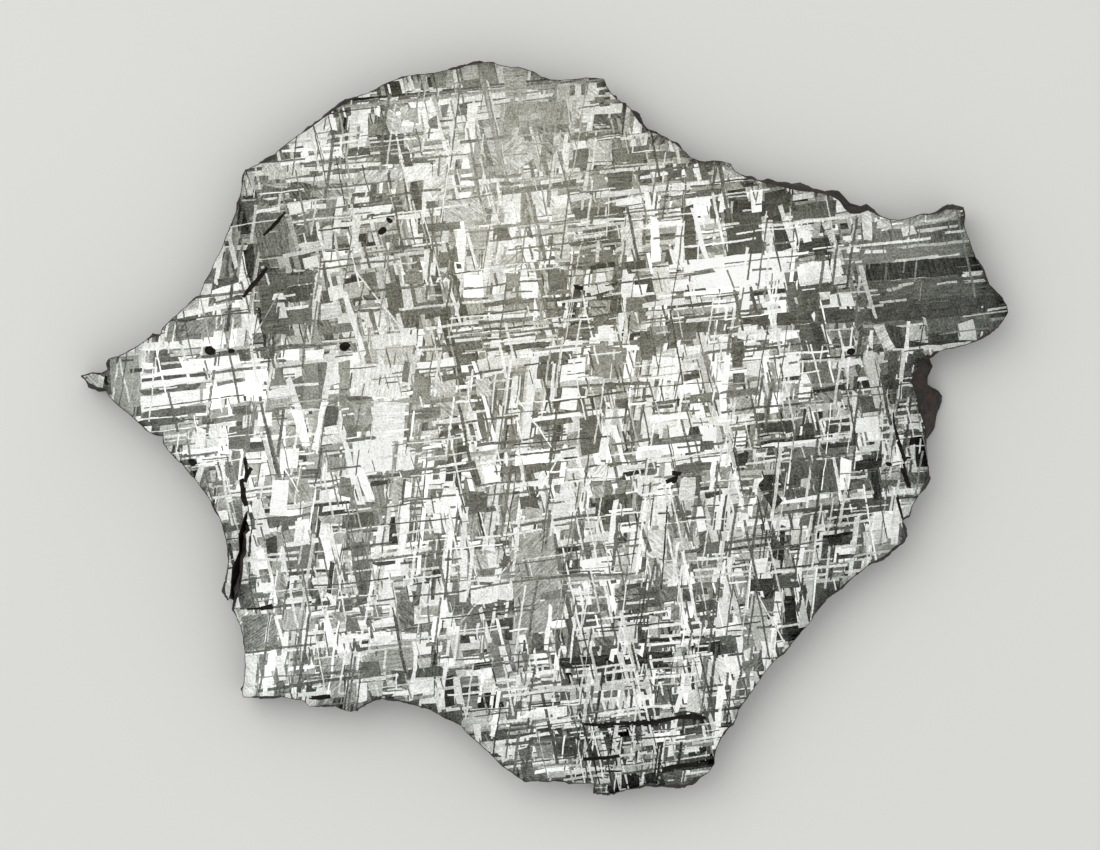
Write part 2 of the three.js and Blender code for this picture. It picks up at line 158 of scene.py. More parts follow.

# The bands and fields that stand out in the photograph, read from it: the two ends of the middle line
# of each and its width, in pixels. Each group lies over the groups before it, so a tone can come twice.
LANDMARKS = [
    (GREY, [
        (672, 314, 714, 309, 7), (800, 262, 812, 260, 8), (788, 345, 800, 343, 12), (124, 356, 128, 408, 30),
        (160, 428, 195, 424, 6), (165, 438, 192, 436, 16), (365, 415, 367, 427, 15), (345, 430, 375, 427, 8),
        (445, 384, 446, 398, 18), (287, 491, 310, 489, 24), (601, 358, 601, 375, 21),
        (540, 388, 537, 410, 10), (745, 398, 744, 416, 24), (703, 352, 721, 392, 6), (746, 480, 746, 494, 7),
        (890, 466, 891, 480, 18), (493, 263, 521, 260, 14), (445, 290, 447, 305, 8), (425, 341, 434, 339, 13),
        (404, 602, 406, 632, 18), (378, 606, 378, 620, 9), (282, 620, 305, 618, 20), (475, 514, 475, 531, 13),
        (530, 530, 540, 632, 46), (708, 563, 707, 580, 12), (735, 550, 768, 546, 24),
        (799, 530, 798, 545, 14), (675, 605, 675, 630, 9), (320, 520, 358, 518, 9), (404, 106, 405, 120, 9),
        (650, 163, 690, 160, 6), (672, 204, 686, 202, 8), (690, 190, 742, 185, 5), (462, 694, 478, 693, 34),
        (504, 684, 504, 702, 15), (749, 660, 750, 671, 15), (680, 770, 680, 782, 12),
        (398, 650, 398, 680, 26), (302, 652, 302, 665, 18), (300, 674, 302, 681, 20),
        (258, 614, 262, 648, 34), (866, 512, 866, 524, 10), (900, 241, 964, 232, 3), (928, 253, 972, 248, 7),
        (862, 240, 884, 238, 6), (940, 293, 982, 291, 2), (264, 404, 292, 401, 9), (292, 426, 293, 446, 14),
        (863, 352, 871, 377, 8), (514, 68, 516, 98, 22), (500, 578, 645, 576, 7), (686, 742, 713, 739, 12),
        (745, 612, 750, 648, 12), (318, 190, 350, 194, 16), (572, 204, 596, 203, 8), (337, 457, 337, 471, 19),
        (436, 410, 466, 406, 16), (432, 387, 456, 384, 14), (536, 392, 535, 412, 10),
        (476, 388, 490, 387, 18), (609, 346, 607, 378, 36), (583, 184, 606, 182, 18),
        (301, 182, 300, 200, 20), (372, 660, 414, 655, 28), (174, 330, 230, 322, 14),
        (615, 594, 660, 590, 12), (646, 331, 668, 330, 9), (369, 655, 370, 676, 14), (288, 318, 313, 314, 14),
        (633, 297, 633, 311, 13), (632, 312, 635, 332, 11), (231, 308, 232, 330, 20),
        (263, 286, 262, 308, 14), (457, 579, 457, 594, 9), (673, 545, 699, 542, 12), (676, 560, 697, 558, 12),
        (646, 771, 647, 784, 12), (332, 616, 345, 615, 8), (590, 746, 592, 752, 14),
    ]),
    (DARK, [
        (687, 206, 692, 262, 13), (742, 206, 746, 256, 36), (669, 329, 736, 324, 12), (660, 338, 696, 335, 8),
        (738, 338, 738, 357, 13), (792, 213, 836, 208, 16), (156, 365, 180, 362, 11), (141, 393, 200, 386, 6),
        (215, 385, 233, 381, 4), (143, 415, 206, 409, 7), (140, 424, 178, 420, 7), (244, 352, 245, 362, 11),
        (263, 356, 276, 355, 9), (267, 379, 290, 376, 20), (245, 380, 258, 378, 4), (233, 411, 251, 409, 8),
        (210, 414, 228, 412, 9), (240, 426, 239, 449, 22), (233, 450, 232, 479, 15), (215, 482, 236, 481, 7),
        (316, 362, 313, 408, 22), (296, 378, 305, 408, 12), (285, 367, 303, 364, 6), (344, 361, 345, 398, 11),
        (328, 403, 372, 397, 9), (333, 406, 329, 429, 12), (347, 405, 349, 426, 12), (407, 362, 405, 382, 6),
        (423, 376, 421, 405, 17), (411, 416, 440, 411, 10), (440, 379, 466, 375, 6), (432, 402, 462, 398, 4),
        (440, 434, 466, 431, 6), (299, 474, 322, 473, 8), (349, 478, 348, 497, 17), (416, 441, 416, 453, 13),
        (548, 352, 547, 380, 23), (549, 388, 546, 412, 4), (559, 388, 556, 410, 6), (583, 388, 581, 407, 5),
        (514, 420, 511, 448, 8), (523, 380, 520, 410, 4), (530, 424, 572, 420, 7), (590, 416, 592, 454, 21),
        (503, 471, 560, 466, 9), (690, 399, 760, 391, 8), (691, 370, 692, 380, 16), (738, 355, 738, 367, 11),
        (738, 373, 739, 385, 12), (782, 380, 800, 377, 8), (731, 428, 747, 426, 7), (648, 461, 648, 475, 14),
        (675, 470, 711, 465, 9), (655, 433, 656, 450, 8), (787, 404, 799, 402, 13), (574, 214, 625, 212, 12),
        (583, 236, 622, 230, 12), (585, 255, 612, 252, 12), (574, 262, 626, 259, 9), (626, 268, 646, 266, 13),
        (512, 273, 514, 288, 13), (556, 268, 557, 290, 17), (547, 294, 570, 291, 5), (484, 305, 519, 300, 6),
        (545, 300, 612, 297, 5), (558, 334, 594, 330, 14), (618, 298, 617, 311, 10), (648, 334, 649, 360, 14),
        (300, 545, 301, 569, 30), (361, 543, 362, 594, 18), (344, 606, 352, 605, 12), (428, 550, 446, 547, 8),
        (463, 604, 478, 600, 9), (468, 512, 496, 508, 5), (478, 574, 496, 572, 6), (505, 576, 521, 573, 6),
        (578, 528, 579, 540, 11), (541, 597, 572, 592, 9), (482, 614, 496, 612, 10), (572, 609, 611, 607, 7),
        (577, 622, 599, 620, 14), (618, 606, 650, 602, 11), (622, 588, 650, 583, 5), (668, 516, 691, 512, 8),
        (703, 550, 730, 547, 14), (748, 586, 773, 584, 12), (776, 583, 798, 580, 14), (690, 588, 725, 584, 5),
        (640, 598, 660, 596, 20), (690, 624, 710, 620, 12), (699, 644, 732, 640, 10), (298, 220, 332, 214, 9),
        (300, 240, 317, 236, 10), (343, 282, 362, 279, 5), (367, 274, 371, 298, 8), (325, 290, 328, 304, 8),
        (284, 280, 314, 276, 14), (283, 296, 313, 292, 16), (318, 332, 356, 326, 8), (395, 248, 441, 243, 4),
        (412, 264, 421, 263, 15), (445, 252, 444, 268, 10), (404, 280, 423, 278, 11),
        (432, 304, 433, 318, 15), (454, 275, 463, 300, 5), (256, 236, 288, 232, 42), (218, 283, 238, 280, 9),
        (213, 301, 241, 297, 4), (272, 270, 276, 334, 28), (333, 114, 351, 111, 8), (333, 130, 336, 147, 8),
        (345, 153, 370, 150, 9), (377, 142, 404, 141, 15), (380, 158, 399, 157, 13), (432, 118, 434, 129, 9),
        (505, 116, 568, 112, 24), (569, 159, 588, 158, 19), (614, 156, 647, 152, 14),
        (608, 182, 632, 180, 19), (497, 190, 495, 215, 4), (524, 190, 523, 215, 4), (650, 155, 690, 154, 7),
        (663, 191, 692, 188, 5), (696, 193, 722, 190, 4), (728, 202, 748, 200, 24), (508, 743, 560, 739, 5),
        (570, 765, 600, 763, 6), (566, 778, 592, 776, 8), (600, 762, 624, 758, 10), (658, 693, 672, 692, 20),
        (711, 696, 712, 708, 9), (680, 733, 712, 729, 7), (235, 502, 236, 525, 14), (277, 526, 288, 524, 12),
        (271, 537, 273, 558, 12), (253, 574, 252, 589, 8), (248, 596, 270, 594, 7), (861, 236, 964, 228, 26),
        (862, 262, 984, 252, 24), (868, 455, 880, 492, 12), (850, 507, 898, 503, 14),
        (800, 520, 822, 518, 12), (648, 447, 700, 441, 8), (699, 446, 713, 445, 9), (697, 475, 695, 505, 9),
        (694, 608, 716, 604, 10), (342, 522, 374, 519, 14), (782, 480, 850, 474, 34),
        (650, 773, 652, 784, 12), (524, 748, 528, 776, 12), (470, 462, 479, 485, 8), (420, 350, 446, 346, 7),
        (440, 350, 482, 345, 6), (505, 349, 546, 343, 7), (455, 437, 454, 458, 13), (478, 492, 477, 512, 18),
        (520, 503, 535, 501, 12), (401, 474, 421, 472, 9), (421, 470, 446, 467, 4), (424, 568, 446, 565, 8),
        (428, 545, 447, 542, 6), (667, 175, 682, 173, 9), (688, 166, 692, 180, 8), (701, 166, 707, 180, 7),
        (716, 200, 716, 218, 12), (360, 206, 399, 199, 6), (418, 229, 460, 224, 9), (405, 277, 421, 276, 16),
        (453, 246, 455, 262, 7), (427, 205, 436, 204, 8), (408, 310, 440, 306, 12), (832, 334, 855, 333, 8),
        (362, 672, 380, 670, 18), (392, 676, 444, 671, 9), (582, 652, 676, 646, 9), (603, 675, 622, 674, 14),
        (390, 283, 397, 314, 13), (763, 430, 797, 426, 12), (272, 187, 270, 204, 18),
        (870, 268, 896, 265, 16), (784, 455, 850, 450, 12), (800, 318, 812, 356, 14),
        (812, 353, 824, 388, 22), (462, 692, 480, 690, 14), (587, 737, 598, 736, 9), (620, 744, 632, 743, 11),
        (604, 765, 626, 763, 8), (630, 771, 630, 788, 18), (610, 771, 611, 786, 9), (616, 298, 616, 312, 9),
        (645, 331, 645, 350, 10), (595, 299, 613, 297, 4), (433, 578, 434, 600, 6), (477, 606, 478, 619, 9),
        (651, 460, 651, 474, 12), (620, 510, 632, 509, 11), (608, 659, 608, 684, 20),
        (629, 668, 631, 682, 12), (640, 662, 672, 659, 8), (284, 594, 306, 592, 6), (484, 313, 520, 311, 3),
        (484, 323, 520, 320, 3), (484, 330, 545, 325, 3), (311, 363, 311, 408, 15), (885, 356, 900, 355, 8),
        (888, 366, 902, 365, 8), (905, 373, 920, 372, 8), (700, 562, 726, 558, 8), (650, 646, 676, 644, 5),
        (664, 622, 667, 635, 5), (338, 607, 351, 605, 10), (361, 584, 362, 605, 10), (346, 624, 358, 623, 16),
        (362, 606, 372, 630, 5),
    ]),
    (BLACKISH, [
        (771, 205, 785, 250, 16), (791, 282, 801, 317, 16), (798, 251, 838, 246, 14),
        (803, 302, 838, 296, 30), (742, 321, 876, 314, 13), (778, 190, 782, 214, 30),
        (865, 272, 992, 264, 18), (866, 292, 1004, 286, 22), (870, 312, 1006, 306, 22),
        (884, 332, 990, 322, 18), (888, 344, 966, 336, 12), (130, 371, 142, 370, 4), (180, 464, 197, 462, 8),
        (348, 400, 372, 396, 4), (370, 484, 393, 481, 5), (368, 478, 400, 474, 3), (585, 468, 621, 464, 4),
        (625, 475, 644, 471, 5), (800, 431, 850, 424, 13), (760, 442, 830, 436, 5), (762, 480, 778, 506, 14),
        (822, 447, 856, 443, 5), (893, 352, 892, 404, 9), (855, 466, 882, 462, 10), (874, 470, 878, 500, 9),
        (589, 268, 616, 264, 5), (313, 506, 350, 502, 3), (320, 514, 356, 510, 4), (285, 574, 326, 570, 3),
        (370, 565, 406, 561, 4), (283, 606, 330, 602, 3), (558, 551, 583, 548, 5), (563, 568, 580, 566, 14),
        (508, 618, 508, 640, 8), (785, 514, 830, 508, 6), (837, 557, 870, 554, 4), (640, 641, 700, 636, 3),
        (532, 706, 586, 701, 4), (556, 744, 600, 741, 12), (560, 752, 600, 750, 10), (698, 652, 734, 648, 10),
        (434, 646, 435, 666, 5), (594, 726, 660, 722, 7), (640, 712, 660, 711, 10), (788, 596, 794, 640, 13),
        (605, 681, 620, 680, 9), (448, 676, 450, 706, 10), (692, 752, 693, 764, 8), (576, 287, 581, 287, 4),
        (586, 295, 591, 295, 4), (291, 273, 304, 272, 5), (456, 266, 461, 266, 5), (803, 247, 840, 245, 18),
        (832, 344, 858, 341, 9), (451, 456, 449, 487, 8), (460, 442, 457, 487, 6), (493, 234, 509, 232, 16),
        (560, 664, 672, 656, 11), (583, 759, 620, 755, 6), (617, 728, 612, 745, 4), (262, 608, 273, 607, 4),
        (894, 326, 895, 346, 14), (882, 385, 900, 384, 10), (693, 652, 720, 647, 14), (662, 668, 669, 667, 8),
    ]),
    (GREY, [
        (842, 373, 856, 372, 9), (818, 397, 842, 394, 9), (536, 750, 556, 748, 16), (88, 377, 103, 384, 14),
        (784, 408, 800, 406, 14), (880, 226, 960, 214, 11),
    ]),
    (LIGHT, [
        (768, 220, 771, 250, 9), (780, 205, 797, 258, 4), (903, 247, 968, 241, 3), (902, 232, 915, 229, 8),
        (918, 231, 958, 226, 3), (920, 222, 947, 219, 3), (928, 258, 960, 254, 2), (964, 274, 982, 273, 5),
        (964, 282, 985, 280, 3), (887, 291, 902, 286, 3), (898, 286, 914, 283, 3), (942, 349, 968, 345, 2),
        (848, 270, 858, 312, 4), (866, 286, 876, 318, 3), (833, 281, 848, 279, 7), (849, 218, 855, 240, 6),
        (866, 212, 868, 240, 9), (877, 224, 889, 222, 8), (879, 326, 890, 350, 10), (826, 331, 856, 328, 2),
        (212, 427, 215, 447, 8), (202, 426, 232, 424, 3), (432, 424, 470, 418, 6), (320, 432, 341, 429, 8),
        (320, 441, 343, 438, 7), (560, 384, 640, 378, 5), (515, 459, 552, 455, 13), (487, 459, 489, 486, 14),
        (615, 408, 614, 425, 6), (690, 422, 756, 416, 5), (726, 430, 735, 468, 4), (735, 480, 734, 504, 9),
        (688, 478, 686, 505, 15), (808, 478, 808, 489, 14), (683, 359, 702, 356, 5), (559, 208, 562, 262, 15),
        (578, 229, 626, 223, 3), (873, 354, 886, 407, 8), (820, 420, 916, 408, 3), (823, 458, 871, 452, 3),
        (858, 450, 878, 447, 7), (910, 446, 913, 472, 9), (893, 415, 904, 470, 2), (843, 497, 874, 492, 4),
        (534, 508, 533, 524, 18), (590, 508, 590, 532, 11), (622, 556, 622, 571, 15),
        (628, 622, 628, 642, 20), (340, 530, 352, 575, 4), (352, 575, 358, 598, 5), (342, 588, 352, 586, 12),
        (390, 585, 426, 580, 5), (360, 646, 400, 642, 3), (393, 600, 392, 618, 6), (660, 566, 675, 563, 7),
        (660, 576, 680, 573, 7), (687, 500, 687, 510, 12), (725, 535, 770, 531, 4), (735, 577, 792, 570, 2),
        (776, 560, 776, 572, 8), (772, 518, 802, 515, 5), (812, 515, 807, 545, 3), (754, 606, 766, 648, 18),
        (654, 616, 653, 636, 9), (288, 215, 298, 250, 5), (338, 258, 386, 250, 4), (377, 272, 390, 330, 4),
        (395, 255, 402, 285, 3), (345, 292, 368, 288, 14), (334, 235, 346, 300, 3), (466, 277, 467, 297, 10),
        (388, 110, 395, 132, 12), (413, 108, 414, 122, 11), (354, 178, 402, 175, 13),
        (404, 175, 432, 171, 14), (433, 95, 443, 126, 4), (503, 104, 500, 150, 4), (518, 118, 541, 115, 6),
        (563, 84, 563, 100, 13), (575, 100, 570, 160, 4), (512, 166, 532, 152, 12), (531, 140, 540, 172, 5),
        (592, 140, 582, 210, 3), (470, 197, 494, 203, 12), (712, 176, 742, 174, 11), (756, 190, 757, 212, 11),
        (540, 690, 650, 685, 7), (597, 674, 598, 686, 9), (619, 650, 628, 684, 5), (595, 725, 603, 757, 4),
        (597, 780, 609, 779, 9), (640, 757, 660, 755, 6), (713, 660, 712, 690, 13), (696, 690, 694, 712, 15),
        (678, 650, 685, 680, 6), (687, 645, 700, 690, 4), (704, 693, 715, 735, 4), (332, 658, 334, 698, 20),
        (370, 690, 383, 688, 14), (433, 683, 440, 712, 4), (290, 685, 320, 680, 2), (875, 530, 876, 544, 24),
        (756, 418, 648, 426, 8), (806, 408, 838, 406, 8), (658, 530, 656, 558, 20), (668, 560, 668, 578, 18),
        (600, 140, 601, 165, 22), (478, 365, 528, 358, 12), (468, 215, 470, 229, 10),
        (912, 416, 912, 428, 15), (588, 472, 610, 468, 9), (919, 326, 919, 342, 18), (965, 322, 968, 340, 17),
        (631, 222, 632, 257, 20), (660, 264, 664, 300, 16), (246, 196, 250, 172, 12),
        (262, 170, 300, 165, 10), (268, 178, 310, 172, 6), (444, 212, 482, 208, 22), (440, 150, 438, 200, 12),
        (503, 150, 530, 148, 18), (826, 222, 838, 254, 8), (820, 296, 830, 295, 7), (868, 352, 882, 408, 13),
        (860, 264, 872, 308, 4), (624, 749, 640, 747, 5), (622, 770, 648, 766, 8), (471, 378, 462, 438, 4),
        (482, 298, 520, 294, 5), (484, 326, 550, 322, 4), (603, 772, 603, 783, 12), (716, 313, 732, 311, 8),
        (451, 556, 464, 555, 9), (528, 286, 529, 299, 13), (450, 517, 450, 531, 8),
    ]),
    (WHITE, [
        (684, 267, 791, 257, 13), (690, 284, 783, 269, 20), (642, 306, 684, 300, 5), (686, 321, 736, 316, 4),
        (747, 286, 744, 315, 8), (798, 275, 842, 266, 16), (795, 231, 812, 227, 7), (738, 332, 757, 329, 8),
        (709, 351, 730, 348, 18), (675, 353, 700, 349, 9), (681, 222, 678, 262, 8), (693, 208, 706, 259, 5),
        (757, 333, 800, 331, 2), (780, 354, 830, 351, 2), (909, 321, 905, 362, 4), (830, 301, 853, 299, 14),
        (865, 252, 886, 251, 3), (872, 330, 871, 348, 4), (822, 325, 831, 347, 4), (119, 358, 130, 402, 2),
        (143, 366, 155, 366, 6), (142, 378, 176, 371, 3), (165, 373, 232, 364, 5), (190, 364, 240, 359, 9),
        (141, 386, 230, 375, 6), (141, 405, 200, 396, 14), (203, 396, 262, 387, 12), (202, 428, 200, 447, 10),
        (223, 428, 222, 447, 7), (186, 453, 229, 450, 7), (197, 460, 228, 457, 5), (212, 452, 221, 480, 3),
        (218, 452, 226, 480, 3), (204, 461, 197, 482, 5), (244, 452, 241, 480, 5), (247, 415, 247, 427, 9),
        (265, 412, 265, 426, 14), (290, 350, 290, 360, 17), (315, 350, 314, 360, 18),
        (283, 373, 302, 371, 10), (333, 350, 324, 402, 6), (324, 402, 315, 450, 6), (334, 373, 335, 384, 12),
        (415, 350, 411, 385, 6), (418, 368, 456, 362, 10), (288, 378, 299, 410, 7), (296, 410, 307, 446, 9),
        (342, 430, 352, 472, 5), (352, 470, 361, 505, 7), (290, 449, 289, 468, 18), (403, 405, 399, 470, 5),
        (412, 448, 408, 470, 9), (511, 360, 503, 440, 3), (517, 376, 511, 424, 8), (535, 356, 523, 455, 8),
        (577, 358, 576, 380, 18), (631, 352, 626, 380, 7), (554, 388, 548, 412, 5), (532, 420, 581, 414, 4),
        (610, 408, 601, 465, 7), (553, 456, 578, 452, 12), (575, 452, 591, 497, 4), (505, 487, 560, 480, 5),
        (567, 490, 566, 503, 14), (667, 357, 666, 380, 30), (686, 383, 688, 393, 14), (712, 352, 722, 391, 7),
        (728, 352, 724, 391, 6), (754, 361, 754, 376, 15), (765, 356, 769, 382, 6), (723, 394, 724, 418, 7),
        (762, 391, 760, 410, 5), (777, 392, 774, 413, 8), (652, 390, 648, 430, 5), (678, 385, 672, 408, 4),
        (710, 428, 710, 441, 13), (740, 434, 739, 448, 13), (757, 428, 754, 460, 3), (760, 447, 852, 437, 4),
        (676, 463, 700, 459, 4), (701, 460, 720, 457, 6), (715, 465, 711, 490, 4), (757, 480, 751, 507, 5),
        (597, 262, 600, 232, 3), (590, 291, 612, 286, 8), (520, 353, 581, 349, 3), (603, 326, 604, 341, 11),
        (616, 326, 617, 340, 11), (547, 328, 555, 352, 6), (569, 345, 583, 342, 9), (626, 290, 622, 330, 3),
        (528, 272, 530, 298, 16), (516, 208, 515, 222, 12), (833, 366, 862, 361, 6), (828, 355, 834, 384, 2),
        (855, 392, 853, 412, 5), (852, 426, 880, 423, 14), (882, 413, 880, 440, 3), (822, 440, 851, 437, 5),
        (889, 442, 889, 455, 15), (846, 459, 844, 490, 11), (904, 352, 899, 400, 4), (302, 520, 304, 542, 14),
        (285, 545, 332, 538, 4), (285, 571, 322, 568, 2), (286, 579, 312, 576, 4), (382, 525, 375, 560, 6),
        (375, 565, 370, 597, 4), (403, 505, 402, 516, 9), (405, 520, 399, 570, 7), (405, 562, 404, 576, 8),
        (394, 556, 411, 553, 8), (338, 598, 370, 596, 3), (312, 583, 328, 581, 10), (283, 602, 312, 598, 5),
        (310, 603, 302, 650, 5), (323, 605, 336, 650, 4), (323, 620, 332, 645, 9), (456, 495, 449, 555, 6),
        (449, 555, 443, 615, 6), (433, 500, 434, 514, 14), (433, 518, 433, 533, 8), (440, 578, 437, 602, 6),
        (438, 618, 433, 642, 8), (424, 632, 424, 643, 9), (466, 507, 462, 550, 5), (516, 529, 515, 550, 6),
        (489, 538, 489, 551, 12), (563, 495, 560, 530, 16), (575, 510, 576, 522, 9), (616, 500, 610, 550, 6),
        (621, 528, 636, 526, 10), (582, 568, 613, 563, 16), (482, 588, 482, 604, 20),
        (505, 588, 506, 600, 13), (499, 568, 494, 602, 6), (495, 608, 490, 642, 3), (480, 608, 490, 642, 5),
        (497, 618, 504, 650, 3), (551, 605, 546, 650, 4), (551, 625, 565, 623, 8), (720, 495, 717, 530, 8),
        (733, 513, 730, 532, 12), (744, 513, 744, 523, 10), (753, 495, 750, 516, 5), (732, 540, 725, 602, 6),
        (720, 568, 718, 583, 12), (822, 532, 819, 560, 3), (776, 530, 800, 528, 4), (726, 602, 720, 628, 14),
        (779, 592, 776, 620, 7), (776, 618, 772, 652, 5), (680, 603, 690, 636, 3), (680, 632, 746, 628, 3),
        (660, 636, 728, 632, 3), (640, 645, 698, 641, 3), (740, 634, 738, 672, 6), (290, 211, 326, 206, 5),
        (336, 226, 386, 219, 4), (327, 226, 328, 250, 8), (300, 247, 320, 244, 6), (304, 264, 318, 261, 11),
        (344, 292, 364, 356, 6), (361, 264, 393, 260, 11), (405, 284, 409, 309, 8), (329, 294, 343, 291, 14),
        (317, 287, 315, 320, 5), (321, 312, 341, 309, 15), (283, 309, 310, 306, 3), (395, 218, 440, 213, 5),
        (412, 246, 446, 242, 2), (395, 256, 452, 247, 4), (430, 251, 430, 275, 12), (448, 280, 462, 330, 3),
        (372, 343, 400, 338, 12), (401, 338, 417, 336, 16), (256, 205, 251, 242, 3), (206, 284, 205, 298, 12),
        (216, 298, 247, 287, 7), (204, 296, 203, 311, 10), (177, 316, 229, 305, 5), (252, 300, 250, 330, 2),
        (241, 300, 250, 330, 2), (249, 325, 256, 360, 3), (142, 347, 204, 343, 8), (204, 342, 227, 340, 8),
        (163, 330, 162, 350, 4), (302, 142, 327, 140, 13), (281, 163, 342, 153, 5), (282, 151, 340, 148, 3),
        (289, 210, 313, 205, 10), (323, 172, 333, 171, 16), (362, 211, 391, 208, 7), (578, 84, 578, 98, 7),
        (585, 102, 586, 122, 9), (600, 172, 634, 169, 3), (570, 199, 650, 190, 5), (503, 204, 520, 203, 18),
        (640, 178, 668, 173, 3), (645, 190, 690, 185, 6), (690, 184, 744, 179, 4), (724, 188, 721, 212, 4),
        (695, 204, 710, 202, 8), (793, 198, 813, 195, 5), (651, 192, 652, 215, 13), (502, 645, 510, 671, 4),
        (483, 675, 479, 703, 3), (485, 682, 516, 680, 3), (494, 683, 491, 711, 3), (497, 713, 492, 736, 6),
        (518, 675, 514, 706, 3), (518, 677, 556, 671, 4), (560, 703, 652, 697, 5), (528, 716, 567, 711, 9),
        (535, 727, 572, 720, 6), (621, 700, 613, 757, 4), (592, 665, 587, 691, 4), (637, 694, 637, 707, 9),
        (504, 747, 506, 761, 8), (568, 773, 599, 768, 4), (477, 724, 479, 742, 7), (495, 743, 531, 738, 4),
        (520, 738, 558, 732, 3), (740, 640, 736, 676, 6), (722, 682, 717, 726, 7), (734, 680, 730, 711, 6),
        (686, 660, 680, 706, 4), (682, 690, 676, 713, 4), (675, 716, 671, 756, 6), (766, 642, 768, 666, 10),
        (730, 656, 732, 670, 10), (283, 651, 321, 646, 3), (313, 645, 333, 644, 7), (288, 669, 319, 666, 3),
        (279, 656, 282, 680, 8), (285, 696, 331, 692, 4), (362, 683, 362, 702, 10), (393, 694, 429, 690, 5),
        (417, 645, 411, 701, 4), (449, 640, 442, 698, 4), (455, 678, 461, 704, 6), (445, 710, 472, 707, 3),
        (217, 516, 228, 515, 10), (256, 500, 264, 535, 13), (251, 535, 252, 552, 12), (243, 561, 301, 558, 3),
        (258, 588, 273, 587, 8), (277, 570, 270, 606, 3), (270, 615, 266, 642, 3), (275, 615, 284, 646, 3),
        (898, 497, 894, 545, 6), (378, 364, 376, 397, 50), (389, 402, 387, 440, 30), (372, 440, 374, 472, 40),
        (776, 368, 800, 366, 20), (637, 453, 700, 446, 10), (605, 471, 645, 466, 6), (661, 478, 657, 526, 15),
        (256, 364, 257, 384, 24), (268, 395, 292, 392, 10), (281, 480, 278, 516, 16), (360, 470, 371, 500, 8),
        (684, 294, 735, 289, 5), (570, 388, 568, 410, 16), (484, 475, 500, 474, 18), (443, 490, 456, 489, 16),
        (432, 506, 452, 504, 10), (696, 164, 700, 180, 4), (654, 217, 656, 262, 9), (256, 212, 280, 208, 4),
        (341, 196, 336, 232, 7), (273, 297, 284, 296, 7), (276, 311, 286, 310, 15), (320, 285, 318, 302, 5),
        (283, 256, 330, 247, 4), (528, 228, 530, 262, 14), (473, 275, 473, 298, 20), (489, 276, 503, 275, 20),
        (805, 230, 808, 242, 8), (793, 254, 808, 253, 3), (800, 268, 839, 262, 8), (813, 313, 816, 322, 5),
        (765, 308, 786, 306, 12), (370, 640, 416, 636, 6), (612, 652, 618, 651, 5), (624, 657, 630, 656, 4),
        (636, 652, 642, 652, 5), (642, 740, 654, 739, 12), (500, 689, 496, 711, 4), (649, 420, 690, 415, 6),
        (229, 235, 236, 268, 4), (601, 733, 607, 757, 3), (620, 736, 613, 753, 3), (448, 550, 442, 620, 8),
        (464, 550, 463, 602, 7), (471, 595, 491, 593, 17), (212, 294, 246, 284, 7), (240, 300, 248, 330, 3),
        (252, 298, 249, 328, 3), (643, 466, 619, 468, 5), (641, 455, 662, 452, 8), (657, 491, 671, 490, 16),
        (764, 309, 780, 307, 11), (745, 346, 761, 344, 6), (613, 651, 611, 661, 4), (643, 645, 641, 656, 4),
        (650, 655, 653, 675, 3), (432, 506, 456, 504, 15), (436, 514, 437, 533, 9), (405, 508, 405, 534, 9),
        (484, 318, 540, 314, 4), (482, 333, 540, 329, 3),
    ]),
    (DARK, [
        (727, 270, 738, 300, 2), (743, 287, 735, 344, 3), (750, 287, 757, 312, 3), (757, 312, 768, 335, 3),
        (684, 275, 714, 270, 4), (684, 306, 713, 303, 3), (211, 374, 235, 369, 3), (318, 452, 345, 450, 2),
        (346, 441, 376, 437, 3), (512, 372, 502, 450, 3), (578, 386, 650, 383, 3), (531, 416, 610, 408, 2),
        (477, 445, 521, 441, 3), (522, 440, 567, 434, 2), (500, 449, 566, 445, 2), (555, 425, 550, 460, 3),
        (627, 399, 652, 396, 3), (652, 404, 676, 401, 3), (652, 409, 673, 405, 4), (652, 414, 700, 410, 2),
        (672, 458, 721, 452, 2), (568, 480, 622, 477, 2), (466, 232, 493, 230, 2), (492, 227, 580, 221, 3),
        (526, 208, 530, 236, 3), (530, 271, 590, 262, 2), (645, 215, 644, 245, 3), (460, 317, 521, 311, 2),
        (521, 311, 606, 307, 2), (460, 326, 501, 321, 2), (460, 336, 521, 330, 2), (480, 341, 546, 333, 2),
        (480, 351, 551, 343, 3), (563, 320, 623, 312, 2), (322, 608, 370, 602, 2), (280, 520, 311, 514, 3),
        (338, 600, 376, 596, 2), (360, 606, 373, 638, 3), (459, 500, 452, 555, 2), (478, 515, 483, 550, 2),
        (578, 507, 583, 549, 3), (619, 505, 613, 571, 3), (582, 549, 641, 545, 3), (640, 525, 650, 552, 4),
        (522, 578, 601, 574, 2), (560, 577, 640, 573, 2), (500, 613, 536, 609, 2), (563, 590, 573, 622, 4),
        (607, 608, 620, 652, 2), (676, 495, 690, 541, 3), (697, 495, 690, 541, 4), (726, 495, 720, 541, 3),
        (762, 500, 778, 548, 4), (320, 262, 376, 256, 2), (395, 240, 441, 236, 2), (358, 197, 386, 194, 2),
        (402, 163, 436, 161, 2), (413, 160, 448, 156, 2), (460, 143, 509, 136, 3), (570, 137, 601, 133, 3),
        (460, 179, 521, 175, 3), (473, 193, 519, 187, 3), (500, 184, 519, 182, 4), (250, 520, 289, 517, 2),
        (240, 609, 331, 604, 2), (470, 600, 476, 640, 2), (597, 168, 640, 163, 3), (655, 214, 681, 212, 2),
        (657, 219, 684, 216, 2), (521, 190, 522, 224, 2), (524, 205, 531, 238, 3), (537, 251, 560, 250, 2),
        (470, 180, 521, 174, 2), (440, 272, 452, 280, 3), (452, 268, 440, 282, 3), (826, 514, 858, 510, 14),
